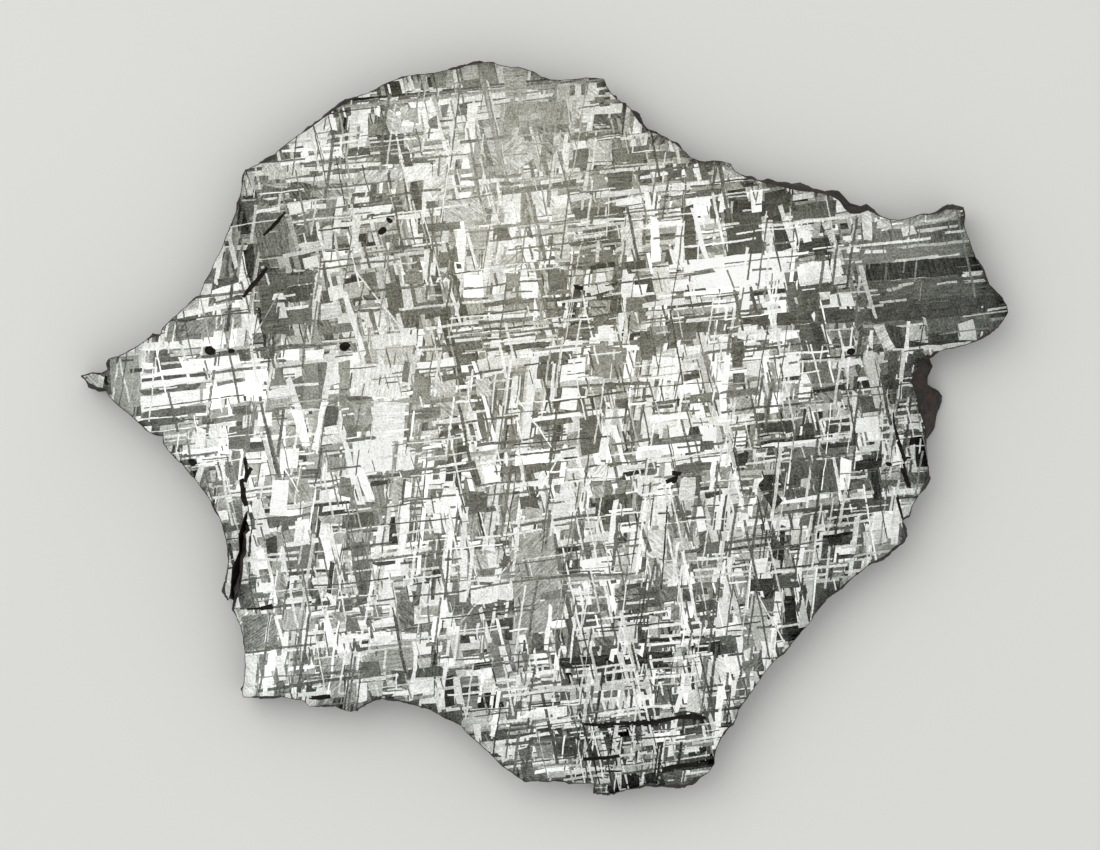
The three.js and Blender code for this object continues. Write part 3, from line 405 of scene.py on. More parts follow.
        (789, 282, 799, 316, 11), (853, 262, 866, 310, 4), (843, 250, 856, 300, 4), (803, 386, 842, 383, 3),
        (142, 380, 206, 374, 4), (318, 269, 400, 259, 2), (697, 560, 724, 557, 8), (428, 605, 431, 640, 2),
    ]),
]

# Dark mineral along the fissures, of which the solid's hollows are only the deep middles, in the same form.
# It lies over everything else.
FISSURES = [
    (BLACK, [
        (584, 724, 632, 724, 2), (632, 724, 661, 722, 4), (660, 721, 677, 717, 4), (676, 717, 706, 718, 3),
        (691, 716, 704, 719, 5), (583, 759, 619, 756, 3), (662, 770, 673, 767, 5), (672, 767, 707, 763, 4),
        (606, 771, 622, 771, 2), (893, 413, 897, 440, 2), (898, 441, 906, 461, 4), (904, 458, 911, 458, 2),
        (902, 468, 909, 488, 4), (897, 497, 903, 519, 3), (247, 609, 263, 608, 2), (261, 608, 273, 606, 4),
        (245, 458, 247, 474, 4), (241, 479, 244, 500, 4), (666, 482, 676, 478, 4), (672, 473, 681, 474, 4),
        (311, 697, 331, 696, 3), (574, 287, 583, 288, 4),
    ]),
]

# How finely the rim and the hollows are made: corners for each one of the solid's, and rows of triangles
RIM_SUBSTEPS = 3
ROW_SUBSTEPS = 3
HOLLOW_SUBSTEPS = 3
HOLLOW_ROWS = 3

# The width of the bevel between each cut face and the rim, in millimetres
EDGE_BEVEL = 0.05

# Corners of the solid nearer than this are one, in metres, and a face whose normal is this upright is flat
SAME_PLACE = 1e-7
UPRIGHT = 0.9999


def unit(angle):
    return math.cos(math.radians(angle)), math.sin(math.radians(angle))


def signed_area(points):
    x, y = points[:, 0], points[:, 1]
    return 0.5 * float(np.sum(x * np.roll(y, -1) - np.roll(x, -1) * y))


# Reading the solid of the frame


def level_loops():
    """The solid's level loops of edges, as {height: [points, ...]} with the longest of each height first."""
    bm = bmesh.new()
    bm.from_mesh(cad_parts[NODE].data)
    bmesh.ops.remove_doubles(bm, verts=bm.verts, dist=SAME_PLACE)
    bm.normal_update()
    links = defaultdict(list)
    for edge in bm.edges:
        first, second = (tuple(vertex.co) for vertex in edge.verts)
        level = abs(first[2] - second[2]) < SAME_PLACE
        sloping = any(abs(face.normal.z) < UPRIGHT for face in edge.link_faces)
        if level and sloping:
            links[first].append(second)
            links[second].append(first)
    bm.free()
    loops = defaultdict(list)
    seen = set()
    for start in sorted(links):
        if start in seen:
            continue
        loop = [start]
        seen.add(start)
        while True:
            onward = sorted(place for place in links[loop[-1]] if place not in seen)
            if not onward:
                break
            loop.append(onward[0])
            seen.add(onward[0])
        points = np.array(loop) / MM
        loops[round(float(points[0, 2]), 3)].append(points)
    for height in loops:
        loops[height].sort(key=len, reverse=True)
    return loops


def aligned(loop, reference):
    """A loop, turned and started so that each of its points lies nearest to that of the reference."""
    tries = [np.roll(way, -start, axis=0) for way in (loop, loop[::-1]) for start in range(len(loop))]
    return min(tries, key=lambda points: float(np.square(points[:, :2] - reference[:, :2]).sum()))


def read_solid():
    """The rim's rings from the top down, and each cut face's hollows as (mouth, floor) rings."""
    loops = level_loops()
    count = max(len(found[0]) for found in loops.values())
    heights = sorted((height for height in loops if len(loops[height][0]) == count), reverse=True)
    outline = loops[heights[0]][0]
    if signed_area(outline) < 0:
        outline = outline[::-1]
    rings = [outline]
    for height in heights[1:]:
        rings.append(aligned(loops[height][0], rings[-1]))
    floors = [loop for found in loops.values() for loop in found if len(loop) != count]
    hollows = {}
    for height in (heights[0], heights[-1]):
        hollows[height] = []
        for mouth in loops[height][1:]:
            middle = mouth[:, :2].mean(axis=0)
            alike = [loop for loop in floors if len(loop) == len(mouth) and loop[0, 2] != height]
            floor = min(alike, key=lambda loop: float(np.abs(loop[:, :2].mean(axis=0) - middle).sum()))
            if signed_area(mouth) < 0:
                mouth = mouth[::-1]
            hollows[height].append((mouth, aligned(floor, mouth)))
    return rings, hollows[heights[0]], hollows[heights[-1]]


RINGS, FRONT_HOLLOWS, BACK_HOLLOWS = read_solid()
OUTLINE = RINGS[0][:, :2]
FACE_MIDDLE = (OUTLINE.min(axis=0) + OUTLINE.max(axis=0)) / 2
THICKNESS = float(RINGS[0][0, 2])


def from_photo(x, y):
    """The place on the front face that a pixel of the photograph shows."""
    return (
        float(FACE_MIDDLE[0]) + (x - PHOTO_FACE_MIDDLE[0]) / PHOTO_SCALE,
        float(FACE_MIDDLE[1]) - (y - PHOTO_FACE_MIDDLE[1]) / PHOTO_SCALE,
    )


FRONT_ZONES = [(*from_photo(x, y), reach / PHOTO_SCALE, *changes) for x, y, reach, *changes in ZONES]

# Roughness of edges

NOISE_SEED = 5
noise.seed_set(NOISE_SEED)


def shift_at(point, sizes_and_reaches):
    """A shift that varies smoothly from place to place, so that edges near one another don't cross."""
    total = Vector((0.0, 0.0, 0.0))
    for size, reach in sizes_and_reaches:
        total += noise.noise_vector(Vector(point) / size) * reach
    return total


def refined(ring, substeps):
    """A closed ring with that many points for each of its own."""
    following = np.roll(ring, -1, axis=0)
    shares = np.arange(substeps) / substeps
    return np.concatenate([a + (b - a) * shares[:, None] for a, b in zip(ring, following)])


# The etched pattern


class Face:
    """What the pattern's making has to know of a cut face."""

    def __init__(self, seed, zones, mirrored):
        self.rng = random.Random(seed)
        self.zones = zones
        self.mirrored = mirrored
        low = OUTLINE.min(axis=0)
        high = OUTLINE.max(axis=0)
        self.low = (float(low[0]), float(low[1]))
        self.high = (float(high[0]), float(high[1]))
        self.inside = inside_test(OUTLINE, low, high)

    def zone(self, x, y, what):
        """What the zones change there: how likely bright grains are for 0, and the share of A bands for 1."""
        total = 0.0
        for place_x, place_y, reach, *changes in self.zones:
            distance = ((x - place_x) ** 2 + (y - place_y) ** 2) / reach**2
            total += changes[what] * math.exp(-distance)
        return total

    def direction(self, family):
        angle, spread = FAMILIES[family]
        angle += self.rng.gauss(0, spread)
        if self.mirrored:
            angle = 180 - angle
        return unit(angle)

    def place(self):
        while True:
            x = self.rng.uniform(self.low[0], self.high[0])
            y = self.rng.uniform(self.low[1], self.high[1])
            if self.inside(x, y):
                return x, y

    def tone(self, x, y, dark, grey, bright):
        """A tone picked with those weights, as the zones change them."""
        change = self.zone(x, y, 0)
        dark = max(0.02, dark - change)
        bright = max(0.02, bright + change)
        shares = (0.22 * dark, 0.78 * dark, grey, 0.34 * bright, 0.66 * bright)
        kind = self.rng.choices((BLACKISH, DARK, GREY, LIGHT, WHITE), shares)[0]
        return min(1.0, max(0.12, self.rng.gauss(*kind)))


def inside_test(outline, low, high):
    """A quick test of whether a place lies in an outline, by the crossings of rows with it."""
    step = 0.1  # the height of a row, in millimetres
    rows = []
    for index in range(int((high[1] - low[1]) / step) + 1):
        y = low[1] + (index + 0.5) * step
        following = np.roll(outline, -1, axis=0)
        crosses = (outline[:, 1] > y) != (following[:, 1] > y)
        a, b = outline[crosses], following[crosses]
        rows.append(np.sort(a[:, 0] + (y - a[:, 1]) / (b[:, 1] - a[:, 1]) * (b[:, 0] - a[:, 0])))

    def inside(x, y):
        index = min(max(int((y - low[1]) / step), 0), len(rows) - 1)
        return np.searchsorted(rows[index], x) % 2 == 1

    return inside


class Bands:
    """The bands grown so far, as arrays for quick tests of where a line meets them.

    Each has a place, a direction, how far it runs back and ahead from there, and whether it lies along A.
    """

    FIELDS = ("x", "y", "ux", "uy", "back", "ahead", "is_a")
    LEAST_TURN = 0.3  # lines that turn less than this from one another count as parallel
    OVERLAP = 0.13  # a line meets a band also this far past the band's ends

    def __init__(self, room):
        self.count = 0
        self.room = {name: np.zeros(room) for name in self.FIELDS}

    def add(self, band):
        for name in self.FIELDS:
            self.room[name][self.count] = getattr(band, name)
        self.count += 1

    def __getattr__(self, name):
        return self.room[name][: self.count]

    def grow(self, band, back, ahead, stop_chance, rng):
        """How far the band runs each way before it stops at another one."""
        if not self.count:
            return -back, ahead
        turn = band.ux * self.uy - band.uy * self.ux
        turn[np.abs(turn) < self.LEAST_TURN] = np.nan
        dx, dy = self.x - band.x, self.y - band.y
        along = (dx * self.uy - dy * self.ux) / turn
        across = (dx * band.uy - dy * band.ux) / turn
        met = along[(across > self.back - self.OVERLAP) & (across < self.ahead + self.OVERLAP)]
        ends = []
        for side, reach in ((-1, back), (1, ahead)):
            end = reach
            for distance in np.sort(side * met[side * met > 0.03]):
                if distance > reach + SNAP:
                    break
                if distance > reach or rng.random() < stop_chance:
                    end = float(distance)
                    break
            ends.append(side * end)
        return ends

    def first_met(self, x, y, dx, dy, chosen, limit, slack):
        """The line of the nearest chosen band in a direction, or None."""
        turn = dx * self.uy - dy * self.ux
        turn[np.abs(turn) < self.LEAST_TURN] = np.nan
        to_x, to_y = self.x - x, self.y - y
        distance = (to_x * self.uy - to_y * self.ux) / turn
        along = (to_x * dy - to_y * dx) / turn
        met = chosen & (distance > 0.06) & (distance < limit)
        met &= (along > self.back - slack) & (along < self.ahead + slack)
        if not met.any():
            return None
        index = np.flatnonzero(met)[np.argmin(distance[met])]
        return self.x[index], self.y[index], self.ux[index], self.uy[index]


def ragged_band(band, rng):
    """The outline of a band, a little uneven along both sides and askew at its ends."""
    length = band.ahead - band.back
    steps = max(1, int(length / RAGGED_STEP))
    most_skew = min(0.35 * band.width, GREATEST_SKEW)
    skew_back, skew_ahead = rng.uniform(-most_skew, most_skew), rng.uniform(-most_skew, most_skew)
    left, right = [], []
    for step in range(steps + 1):
        along = band.back + length * step / steps
        half = band.width / 2 + rng.uniform(-1, 1) * min(0.1 * band.width, GREATEST_RAGGEDNESS)
        sway = rng.uniform(-0.02, 0.02)
        skew = skew_back if step == 0 else skew_ahead if step == steps else 0.0
        x, y = band.x + band.ux * along, band.y + band.uy * along
        over, under = half + sway, half - sway
        left.append((x - band.uy * over + band.ux * skew, y + band.ux * over + band.uy * skew))
        right.append((x + band.uy * under - band.ux * skew, y - band.ux * under - band.uy * skew))
    return right + left[::-1]


def meeting_point(line, other):
    """Where two lines cross, each given as a place and a direction."""
    turn = line[2] * other[3] - line[3] * other[2]
    along = ((other[0] - line[0]) * other[3] - (other[1] - line[1]) * other[2]) / turn
    return float(line[0] + line[2] * along), float(line[1] + line[3] * along)


def patch(points, tone, rng, hatched=0.0):
    """A patch of the pattern: its outline, its material, its tone, a number of its own, and the lay and the
    strength of its streaks. The chance that the streaks lie aslant of all bands is given as hatched."""
    if rng.random() < hatched:
        lay, hatch = rng.choice((-1, 1)) * rng.uniform(34, 58), rng.uniform(0.6, 1.0)
    else:
        lay, hatch = FAMILIES[rng.choice("AABC")][0] + rng.gauss(0, 3), rng.uniform(0.1, 0.6)
    look = {"tone": tone, "grain": rng.random(), "lay": math.radians(lay), "hatch": hatch}
    return SimpleNamespace(points=points, material=ETCHED, **look)


def grow_bands(face, bands, wanted):
    """Packets of parallel bands, of which the early ones are longer and run through the later ones."""
    rng = face.rng
    made = []
    while len(made) < wanted:
        x, y = face.place()
        extra = face.zone(x, y, 1)
        share_a, share_b, share_c = FAMILY_SHARES
        family = rng.choices("ABC", (share_a + extra, share_b - extra / 2, share_c - extra / 2))[0]
        ux, uy = face.direction(family)
        early = len(made) < wanted * EARLY_SHARE
        reach = BAND_REACH * math.exp(rng.gauss(0, 0.6)) * (2.0 if early else 1.0)
        width = rng.uniform(0.14, 0.36) if rng.random() < 0.75 else rng.uniform(0.36, 0.80)
        bright = rng.random() < 0.60
        offset = 0.0
        for _ in range(rng.choices((1, 2, 3, 4), (0.55, 0.25, 0.14, 0.06))[0]):
            along = rng.uniform(-0.2, 0.2) * reach
            band = SimpleNamespace(
                x=x - uy * offset + ux * along,
                y=y + ux * offset + uy * along,
                ux=ux,
                uy=uy,
                width=width * rng.uniform(0.6, 1.15),
                is_a=family == "A",
            )
            back, ahead = reach * rng.uniform(0.3, 0.7), reach * rng.uniform(0.3, 0.7)
            band.back, band.ahead = bands.grow(band, back, ahead, STOP_EARLY if early else STOP_LATE, rng)
            offset += band.width * rng.uniform(1.1, 2.2)
            if band.ahead - band.back < LEAST_BAND:
                continue
            weights = (0.08, 0.20, 0.72) if bright else (0.50, 0.36, 0.14)
            band.tone = face.tone(band.x, band.y, *weights)
            band.hatched = 0.4 if band.width > 0.4 and band.tone < 0.7 else 0.0
            bands.add(band)
            made.append(band)
            if rng.random() < 0.2:
                bright = not bright
    return made


def turns_left_everywhere(corners):
    """Whether the corners, gone round anticlockwise, make a convex outline."""
    corners = anticlockwise(corners)
    for before, here, after in zip(corners[-1:] + corners[:-1], corners, corners[1:] + corners[:1]):
        if (here[0] - before[0]) * (after[1] - here[1]) <= (here[1] - before[1]) * (after[0] - here[0]):
            return False
    return True


def field_patches(face, bands, wanted):
    """Four-sided fields whose sides lie along the bands round them."""
    rng = face.rng
    is_a = bands.is_a > 0.5
    patches = []
    for index in range(wanted):
        x, y = face.place()
        big = index < wanted * 0.35
        reach_a = rng.uniform(0.8, 2.2) if big else rng.uniform(0.35, 1.2)
        reach_b = rng.uniform(0.6, 1.8) if big else rng.uniform(0.30, 1.0)
        a = face.direction("A")
        b = face.direction(rng.choice("BC"))
        sides = []
        for dx, dy, chosen, limit in (
            (a[0], a[1], ~is_a, reach_a),
            (b[0], b[1], is_a, reach_b),
            (-a[0], -a[1], ~is_a, reach_a),
            (-b[0], -b[1], is_a, reach_b),
        ):
            line = bands.first_met(x, y, dx, dy, chosen, limit, 0.65)
            if line is None:
                distance = limit * rng.uniform(0.6, 1.0)
                along = face.direction("A") if chosen is is_a else face.direction(rng.choice("BC"))
                line = (x + dx * distance, y + dy * distance, *along)
            sides.append(line)
        corners = [meeting_point(sides[side], sides[(side + 1) % 4]) for side in range(4)]
        far = max(abs(corner[0] - x) + abs(corner[1] - y) for corner in corners)
        if far > GREATEST_FIELD_REACH or not turns_left_everywhere(corners):
            continue
        patches.append(patch(corners, face.tone(x, y, 0.30, 0.30, 0.40), rng, 0.4))
    return patches


def band_patches(face, made):
    """The bands, the long early ones over the others, with a thin dark rim beside some of the bright ones."""
    rng = face.rng
    patches = []
    for band in reversed(made):
        if band.tone > 0.7 and rng.random() < 0.55:
            side = rng.choice((-1, 1)) * (band.width / 2 + DARK_RIM_PLACE)
            rim = SimpleNamespace(**vars(band))
            rim.x, rim.y = band.x - band.uy * side, band.y + band.ux * side
            rim.width = DARK_RIM
            patches.append(patch(ragged_band(rim, rng), rng.gauss(*DARK), rng))
        patches.append(patch(ragged_band(band, rng), band.tone, rng, band.hatched))
    return patches


def landmark_patches(groups, seed):
    """The bands, fields or fissures that are read from the photograph. What is black wears the mineral."""
    rng = random.Random(seed)
    patches = []
    for kind, bars in groups:
        for start_x, start_y, end_x, end_y, width in bars:
            start, end = Vector(from_photo(start_x, start_y)), Vector(from_photo(end_x, end_y))
            length = (end - start).length
            along = (end - start) / length
            band = SimpleNamespace(x=start.x, y=start.y, ux=along.x, uy=along.y, back=0.0, ahead=length)
            band.width = width / PHOTO_SCALE
            hatched = 0.5 if kind in (GREY, LIGHT) and min(length, band.width) > 0.4 else 0.0
            patches.append(patch(ragged_band(band, rng), min(1.0, rng.gauss(*kind)), rng, hatched))
            if kind is BLACK:
                patches[-1].material = MINERAL
    return patches


def thin_patches(face, bands, wanted):
    """Hair-thin lines over everything, dark and bright, and a few faint ones aslant of all bands."""
    rng = face.rng
    patches = []
    for index in range(wanted):
        x, y = face.place()
        ux, uy = face.direction(rng.choices("ABC", FAMILY_SHARES)[0])
        if index % 60 == 0:
            ux, uy = unit(rng.choice((38, 52, 128)) + rng.gauss(0, 6))
        bright = rng.random() < 0.42
        liking = face.zone(x, y, 0)
        if liking < -0.15 if bright else liking > 0.12:
            continue
        band = SimpleNamespace(x=x, y=y, ux=ux, uy=uy, width=rng.uniform(0.06, 0.13))
        long = index % 4 == 0
        half = rng.uniform(1.6, 3.6) if long else rng.uniform(0.35, 1.6)
        band.back, band.ahead = bands.grow(band, half, half, STOP_LONG if long else STOP_SHORT, rng)
        if band.ahead - band.back < LEAST_THIN_LINE:
            continue
        weights = (0.1, 0.2, 0.7) if bright else (0.55, 0.45, 0.0)
        patches.append(patch(ragged_band(band, rng), face.tone(x, y, *weights), rng))
    return patches


def pattern(face, band_count, field_count, thin_count, landmarks):
    """All patches of a cut face, each lying over the ones before it."""
    bands = Bands(band_count + 10)
    made = grow_bands(face, bands, band_count)
    fields = field_patches(face, bands, field_count)
    return fields + band_patches(face, made) + landmarks + thin_patches(face, bands, thin_count)


# From overlapping patches to one flat net of triangles


def anticlockwise(points):
    """The points, or the points backwards, so that they go round anticlockwise."""
    twice_area = sum(a[0] * b[1] - b[0] * a[1] for a, b in zip(points, points[1:] + points[:1]))
    return points if twice_area > 0 else points[::-1]


# Labels of parts that show no patch, and the area from which a bare part counts as big, in square millimetres
OUTSIDE = -1
BARE = -2
BIG_BARE_AREA = 2.5

# In millimetres: the least spacing of the corners that hidden sides leave along a straight side, how near
# corners are one in each pass, and how little a straight side can bend, as a share and beyond that share
SIDE_STEP = 0.3
FIRST_MERGE, SECOND_MERGE = 1e-6, 1e-7
STRAIGHT, STRAIGHT_SLACK = 1e-5, 1e-9


def bare_cells(triangles, labels, places, face):
    """Labels each separate bare part of the net as a patch of its own, and gives those patches."""
    beside = {}
    for index, (a, b, c) in enumerate(triangles):
        for side in ((a, b), (b, c), (c, a)):
            beside[side] = index
    cells = []
    first = max(labels) + 1
    for start, label in enumerate(labels):
        if label != BARE:
            continue
        labels[start] = first + len(cells)
        cell = [start]
        area = 0.0
        for index in cell:
            a, b, c = triangles[index]
            area += 0.5 * (places[b] - places[a]).cross(places[c] - places[a])
            for side in ((b, a), (c, b), (a, c)):
                other = beside.get(side)
                if other is not None and labels[other] == BARE:
                    labels[other] = labels[start]
                    cell.append(other)
        x, y = places[triangles[start][0]]
        weights = (0.25, 0.60, 0.15) if area > BIG_BARE_AREA else (0.34, 0.30, 0.36)
        cells.append(patch([], face.tone(x, y, *weights), face.rng, 0.5))
    return cells


def arrangement(outline, mouths, patches):
    """The parts of the face that show one patch each, as {corner: {next corner: label to the left}}, where
    the corners are, and which of them come from the outline or a mouth."""
    rings = [outline, *mouths, *(anticlockwise(one.points) for one in patches)]
    places, faces = [], []
    for ring in rings:
        faces.append(list(range(len(places), len(places) + len(ring))))
        places += [Vector((float(point[0]), float(point[1]))) for point in ring]
    kept = sum(len(ring) for ring in rings[: 1 + len(mouths)])
    out_places, _, out_faces, origins, _, covers = delaunay_2d_cdt(places, [], faces, 0, FIRST_MERGE, True)

    def shown(cover):
        if 0 not in cover or any(1 <= index <= len(mouths) for index in cover):
            return OUTSIDE
        top = max(cover)
        return top - 1 - len(mouths) if top > len(mouths) else BARE

    left_of = {}
    for corners, cover in zip(out_faces, covers):
        label = shown(cover)
        for a, b in zip(corners, corners[1:] + corners[:1]):
            left_of[a, b] = label
    links = defaultdict(dict)
    for (a, b), label in left_of.items():
        other = left_of.get((b, a), OUTSIDE)
        if other != label:
            links[a][b] = label
            links[b][a] = other
    input_of = {}
    for index, origin in enumerate(origins):
        rim_inputs = [source for source in origin if source < kept]
        if rim_inputs:
            input_of[index] = min(rim_inputs)
    drop_idle_corners(links, out_places, set(input_of))
    return links, out_places, input_of


def drop_idle_corners(links, places, keep):
    """Takes out corners in the middle of a straight side, which only hidden sides met."""
    for corner in list(links):
        if corner in keep or len(links[corner]) != 2:
            continue
        before, after = links[corner]
        to_before, to_after = places[before] - places[corner], places[after] - places[corner]
        bend = abs(to_before.cross(to_after))
        straight = bend < STRAIGHT * to_before.length * to_after.length + STRAIGHT_SLACK
        near = min(to_before.length, to_after.length) < SIDE_STEP
        if not straight or not near or to_before.dot(to_after) > 0 or after in links[before]:
            continue
        if links[before][corner] != links[corner][after] or links[after][corner] != links[corner][before]:
            continue
        links[before][after] = links[before].pop(corner)
        links[after][before] = links[after].pop(corner)
        del links[corner]


def flat_net(outline, mouths, patches, face):
    """The triangles of the face, their labels, and which corners come from the outline and the mouths."""
    links, places, input_of = arrangement(outline, mouths, patches)
    names = sorted(links)
    number = {name: index for index, name in enumerate(names)}
    sides = [(a, b) for a in names for b in links[a] if a < b]
    numbered = [(number[a], number[b]) for a, b in sides]
    corners = [places[name] for name in names]
    net = delaunay_2d_cdt(corners, numbered, [], 0, SECOND_MERGE, True)
    net_places, net_sides, triangles, origins, side_origins, _ = net

    left_of = {}
    for (a, b), origin in zip(net_sides, side_origins):
        if origin:
            first, second = sides[origin[0]]
            if (places[second] - places[first]).dot(net_places[b] - net_places[a]) < 0:
                first, second = second, first
            left_of[a, b] = links[first][second]
            left_of[b, a] = links[second][first]
    labels = spread_labels(triangles, left_of)
    patches += bare_cells(triangles, labels, net_places, face)
    kept = [index for index, label in enumerate(labels) if label != OUTSIDE]
    rim_input = {}
    for index, origin in enumerate(origins):
        if origin and names[origin[0]] in input_of:
            rim_input[index] = input_of[names[origin[0]]]
    return SimpleNamespace(
        places=[(place.x, place.y) for place in net_places],
        triangles=[tuple(triangles[index]) for index in kept],
        labels=[labels[index] for index in kept],
        rim_input=rim_input,
    )


def spread_labels(triangles, left_of):
    """The label of each triangle: that of a labelled side, or else of the triangle beside it."""
    beside = {}
    labels = [None] * len(triangles)
    waiting = deque()
    for index, (a, b, c) in enumerate(triangles):
        for side in ((a, b), (b, c), (c, a)):
            beside[side] = index
            if labels[index] is None and side in left_of:
                labels[index] = left_of[side]
                waiting.append(index)
    while waiting:
        index = waiting.popleft()
        a, b, c = triangles[index]
        for side in ((b, a), (c, b), (a, c)):
            other = beside.get(side)
            if other is not None and labels[other] is None:
                labels[other] = labels[index]
                waiting.append(other)
    return labels


def border_chains(net):
    """For each input corner of the outline and the mouths, the net's corners from it up to the next one."""
    sides = set()
    for a, b, c in net.triangles:
        sides |= {(a, b), (b, c), (c, a)}
    onward = {a: b for a, b in sides if (b, a) not in sides}
    chains = {}
    for start, source in net.rim_input.items():
        chain = [start]
        while onward[chain[-1]] not in net.rim_input:
            chain.append(onward[chain[-1]])
        chains[source] = chain
    return chains


# The mesh of the slice

ETCHED, CRUST, MINERAL = range(3)

# Hollows down to this depth, in millimetres, wear the mineral, and deeper ones the crust
MINERAL_DEPTH = 0.6

# What the rim and the hollows carry in place of a patch, which their materials don't read
BARE_PATCH = SimpleNamespace(tone=0.57, grain=0.5, lay=0.0, hatch=0.3)

# The layout of the surface on a square map: shares of the map per millimetre, and the places of its parts
FRONT_MAP_SCALE = 0.0136
BACK_MAP_SCALE = 0.0062
MAP_MARGIN = 0.004
RIM_MAP_LEFT = 0.405
RIM_MAP_STRIPS = 4
RIM_STRIP_HEIGHT = 0.06

# Unevenness as pairs of the size of the lumps and their greatest shift, in millimetres
RIM_ROUGHNESS = ((1.5, 0.16), (0.6, 0.11), (0.28, 0.05))
EDGE_ROUGHNESS = ((0.9, 0.05), (0.40, 0.035), (0.22, 0.022))
MOUTH_ROUGHNESS = ((0.5, 0.06), (0.2, 0.03))

# How far from the cut faces the rim's roughness has come in fully, in millimetres
ROUGH_FROM = 0.5


class SliceMesh:
    """The corners and triangles of the one closed mesh, with each triangle's look and places on the map."""

    def __init__(self):
        self.places = []
        self.triangles = []
        self.materials = []
        self.looks = []
        self.map_places = []

    def corner(self, x, y, z):
        self.places.append((float(x), float(y), float(z)))
        return len(self.places) - 1

    def uneven_corner(self, x, y, z):
        """A corner of a cut face or just under it, where all edges share one slight unevenness."""
        shift = shift_at((x, y, z), EDGE_ROUGHNESS)
        return self.corner(x + shift[0], y + shift[1], z)

    def ring(self, points):
        return [self.corner(*point) for point in points]

    def triangle(self, corners, map_places, material, look, flip=False):
        if flip:
            corners, map_places = corners[::-1], map_places[::-1]
        self.triangles.append(corners)
        self.map_places.append(map_places)
        self.materials.append(material)
        self.looks.append(look)

    def add_net(self, net, height, to_map, looks, flip):
        """A cut face. Gives the corners that the net's own corners became."""
        names = [self.uneven_corner(x, y, height) for x, y in net.places]
        for corners, label in zip(net.triangles, net.labels):
            look = looks[label]
            map_places = [to_map(*net.places[corner]) for corner in corners]
            self.triangle([names[corner] for corner in corners], map_places, look.material, look, flip)
        return names

    def flat_mapped(self, corners, to_map, material, flip):
        map_places = [to_map(*self.places[corner][:2]) for corner in corners]
        self.triangle(corners, map_places, material, BARE_PATCH, flip)


def front_to_map(x, y):
    return MAP_MARGIN + (x - LOWEST[0]) * FRONT_MAP_SCALE, MAP_MARGIN + (y - LOWEST[1]) * FRONT_MAP_SCALE


def back_to_map(x, y):
    top = 2.5 * MAP_MARGIN + (HIGHEST[1] - LOWEST[1]) * FRONT_MAP_SCALE
    return MAP_MARGIN + (x - LOWEST[0]) * BACK_MAP_SCALE, top + (y - LOWEST[1]) * BACK_MAP_SCALE


ALL_RIM_POINTS = np.concatenate(RINGS)
LOWEST = ALL_RIM_POINTS.min(axis=0)
HIGHEST = ALL_RIM_POINTS.max(axis=0)


def rim_to_map(column, row, segment, columns, rows):
    """The map place of a corner of the rim, in the strip that this segment of the rim lies in."""
    strip_columns = math.ceil(columns / RIM_MAP_STRIPS)
    strip = segment // strip_columns
    bottom = 2.5 * MAP_MARGIN + (HIGHEST[1] - LOWEST[1]) * FRONT_MAP_SCALE
    width = 1 - RIM_MAP_LEFT - MAP_MARGIN
    across = RIM_MAP_LEFT + width * (column - strip * strip_columns) / strip_columns
    height = RIM_STRIP_HEIGHT - MAP_MARGIN
    return across, bottom + strip * RIM_STRIP_HEIGHT + height * row / rows


def face_ring(ring):
    """A ring of a cut face, refined and drawn in by the width of the bevel."""
    fine = refined(ring, RIM_SUBSTEPS)
    following, before = np.roll(fine, -2, axis=0), np.roll(fine, 2, axis=0)
    along = following[:, :2] - before[:, :2]
    along /= np.maximum(np.linalg.norm(along, axis=1), 1e-9)[:, None]
    inward = np.stack([-along[:, 1], along[:, 0]], axis=1)
    return fine[:, :2] + inward * EDGE_BEVEL


def rim_rows():
    """The rings of the rim between the two cut faces, from the top down, rough with lumps and pits."""
    fine = [refined(ring, RIM_SUBSTEPS) for ring in RINGS]
    rows = []
    for upper, lower in zip(fine, fine[1:]):
        for step in range(ROW_SUBSTEPS):
            rows.append(upper + (lower - upper) * step / ROW_SUBSTEPS)
    rows.append(fine[-1])
    rows[0][:, 2] -= EDGE_BEVEL
    rows[-1][:, 2] += EDGE_BEVEL
    rough = []
    for row in rows:
        depth = np.minimum(THICKNESS - row[:, 2], row[:, 2])
        shares = np.clip((depth - EDGE_BEVEL) / ROUGH_FROM, 0, 1)
        points = []
        for point, share in zip(row, shares):
            shift = shift_at(point, EDGE_ROUGHNESS) + shift_at(point, RIM_ROUGHNESS) * float(share)
            lift = shift[2] if 0 < share else 0.0
            z = min(max(point[2] + 0.5 * lift * float(share), EDGE_BEVEL), THICKNESS - EDGE_BEVEL)
            points.append((point[0] + shift[0], point[1] + shift[1], z))
        rough.append(np.array(points))
    return rough


def stitch(mesh, chains, lower, place_map, material, flip):
    """A strip between the border of a net and the ring beside it. The border is given as chains in a row."""
    count = len(chains)
    for segment, chain in enumerate(chains):
        following = (segment + 1) % count
        upper = [*chain, chains[following][0]]
        for step, (a, b) in enumerate(zip(upper, upper[1:])):
            shares = (segment + step / len(chain), segment + (step + 1) / len(chain))
            corners = [a, lower[segment], b]
            where = [(shares[0], 0), (segment, 1), (shares[1], 0)]
            mesh.triangle(corners, place_map(corners, where, segment), material, BARE_PATCH, flip)
        corners = [upper[-1], lower[segment], lower[following]]
        where = [(segment + 1, 0), (segment, 1), (segment + 1, 1)]
        mesh.triangle(corners, place_map(corners, where, segment), material, BARE_PATCH, flip)


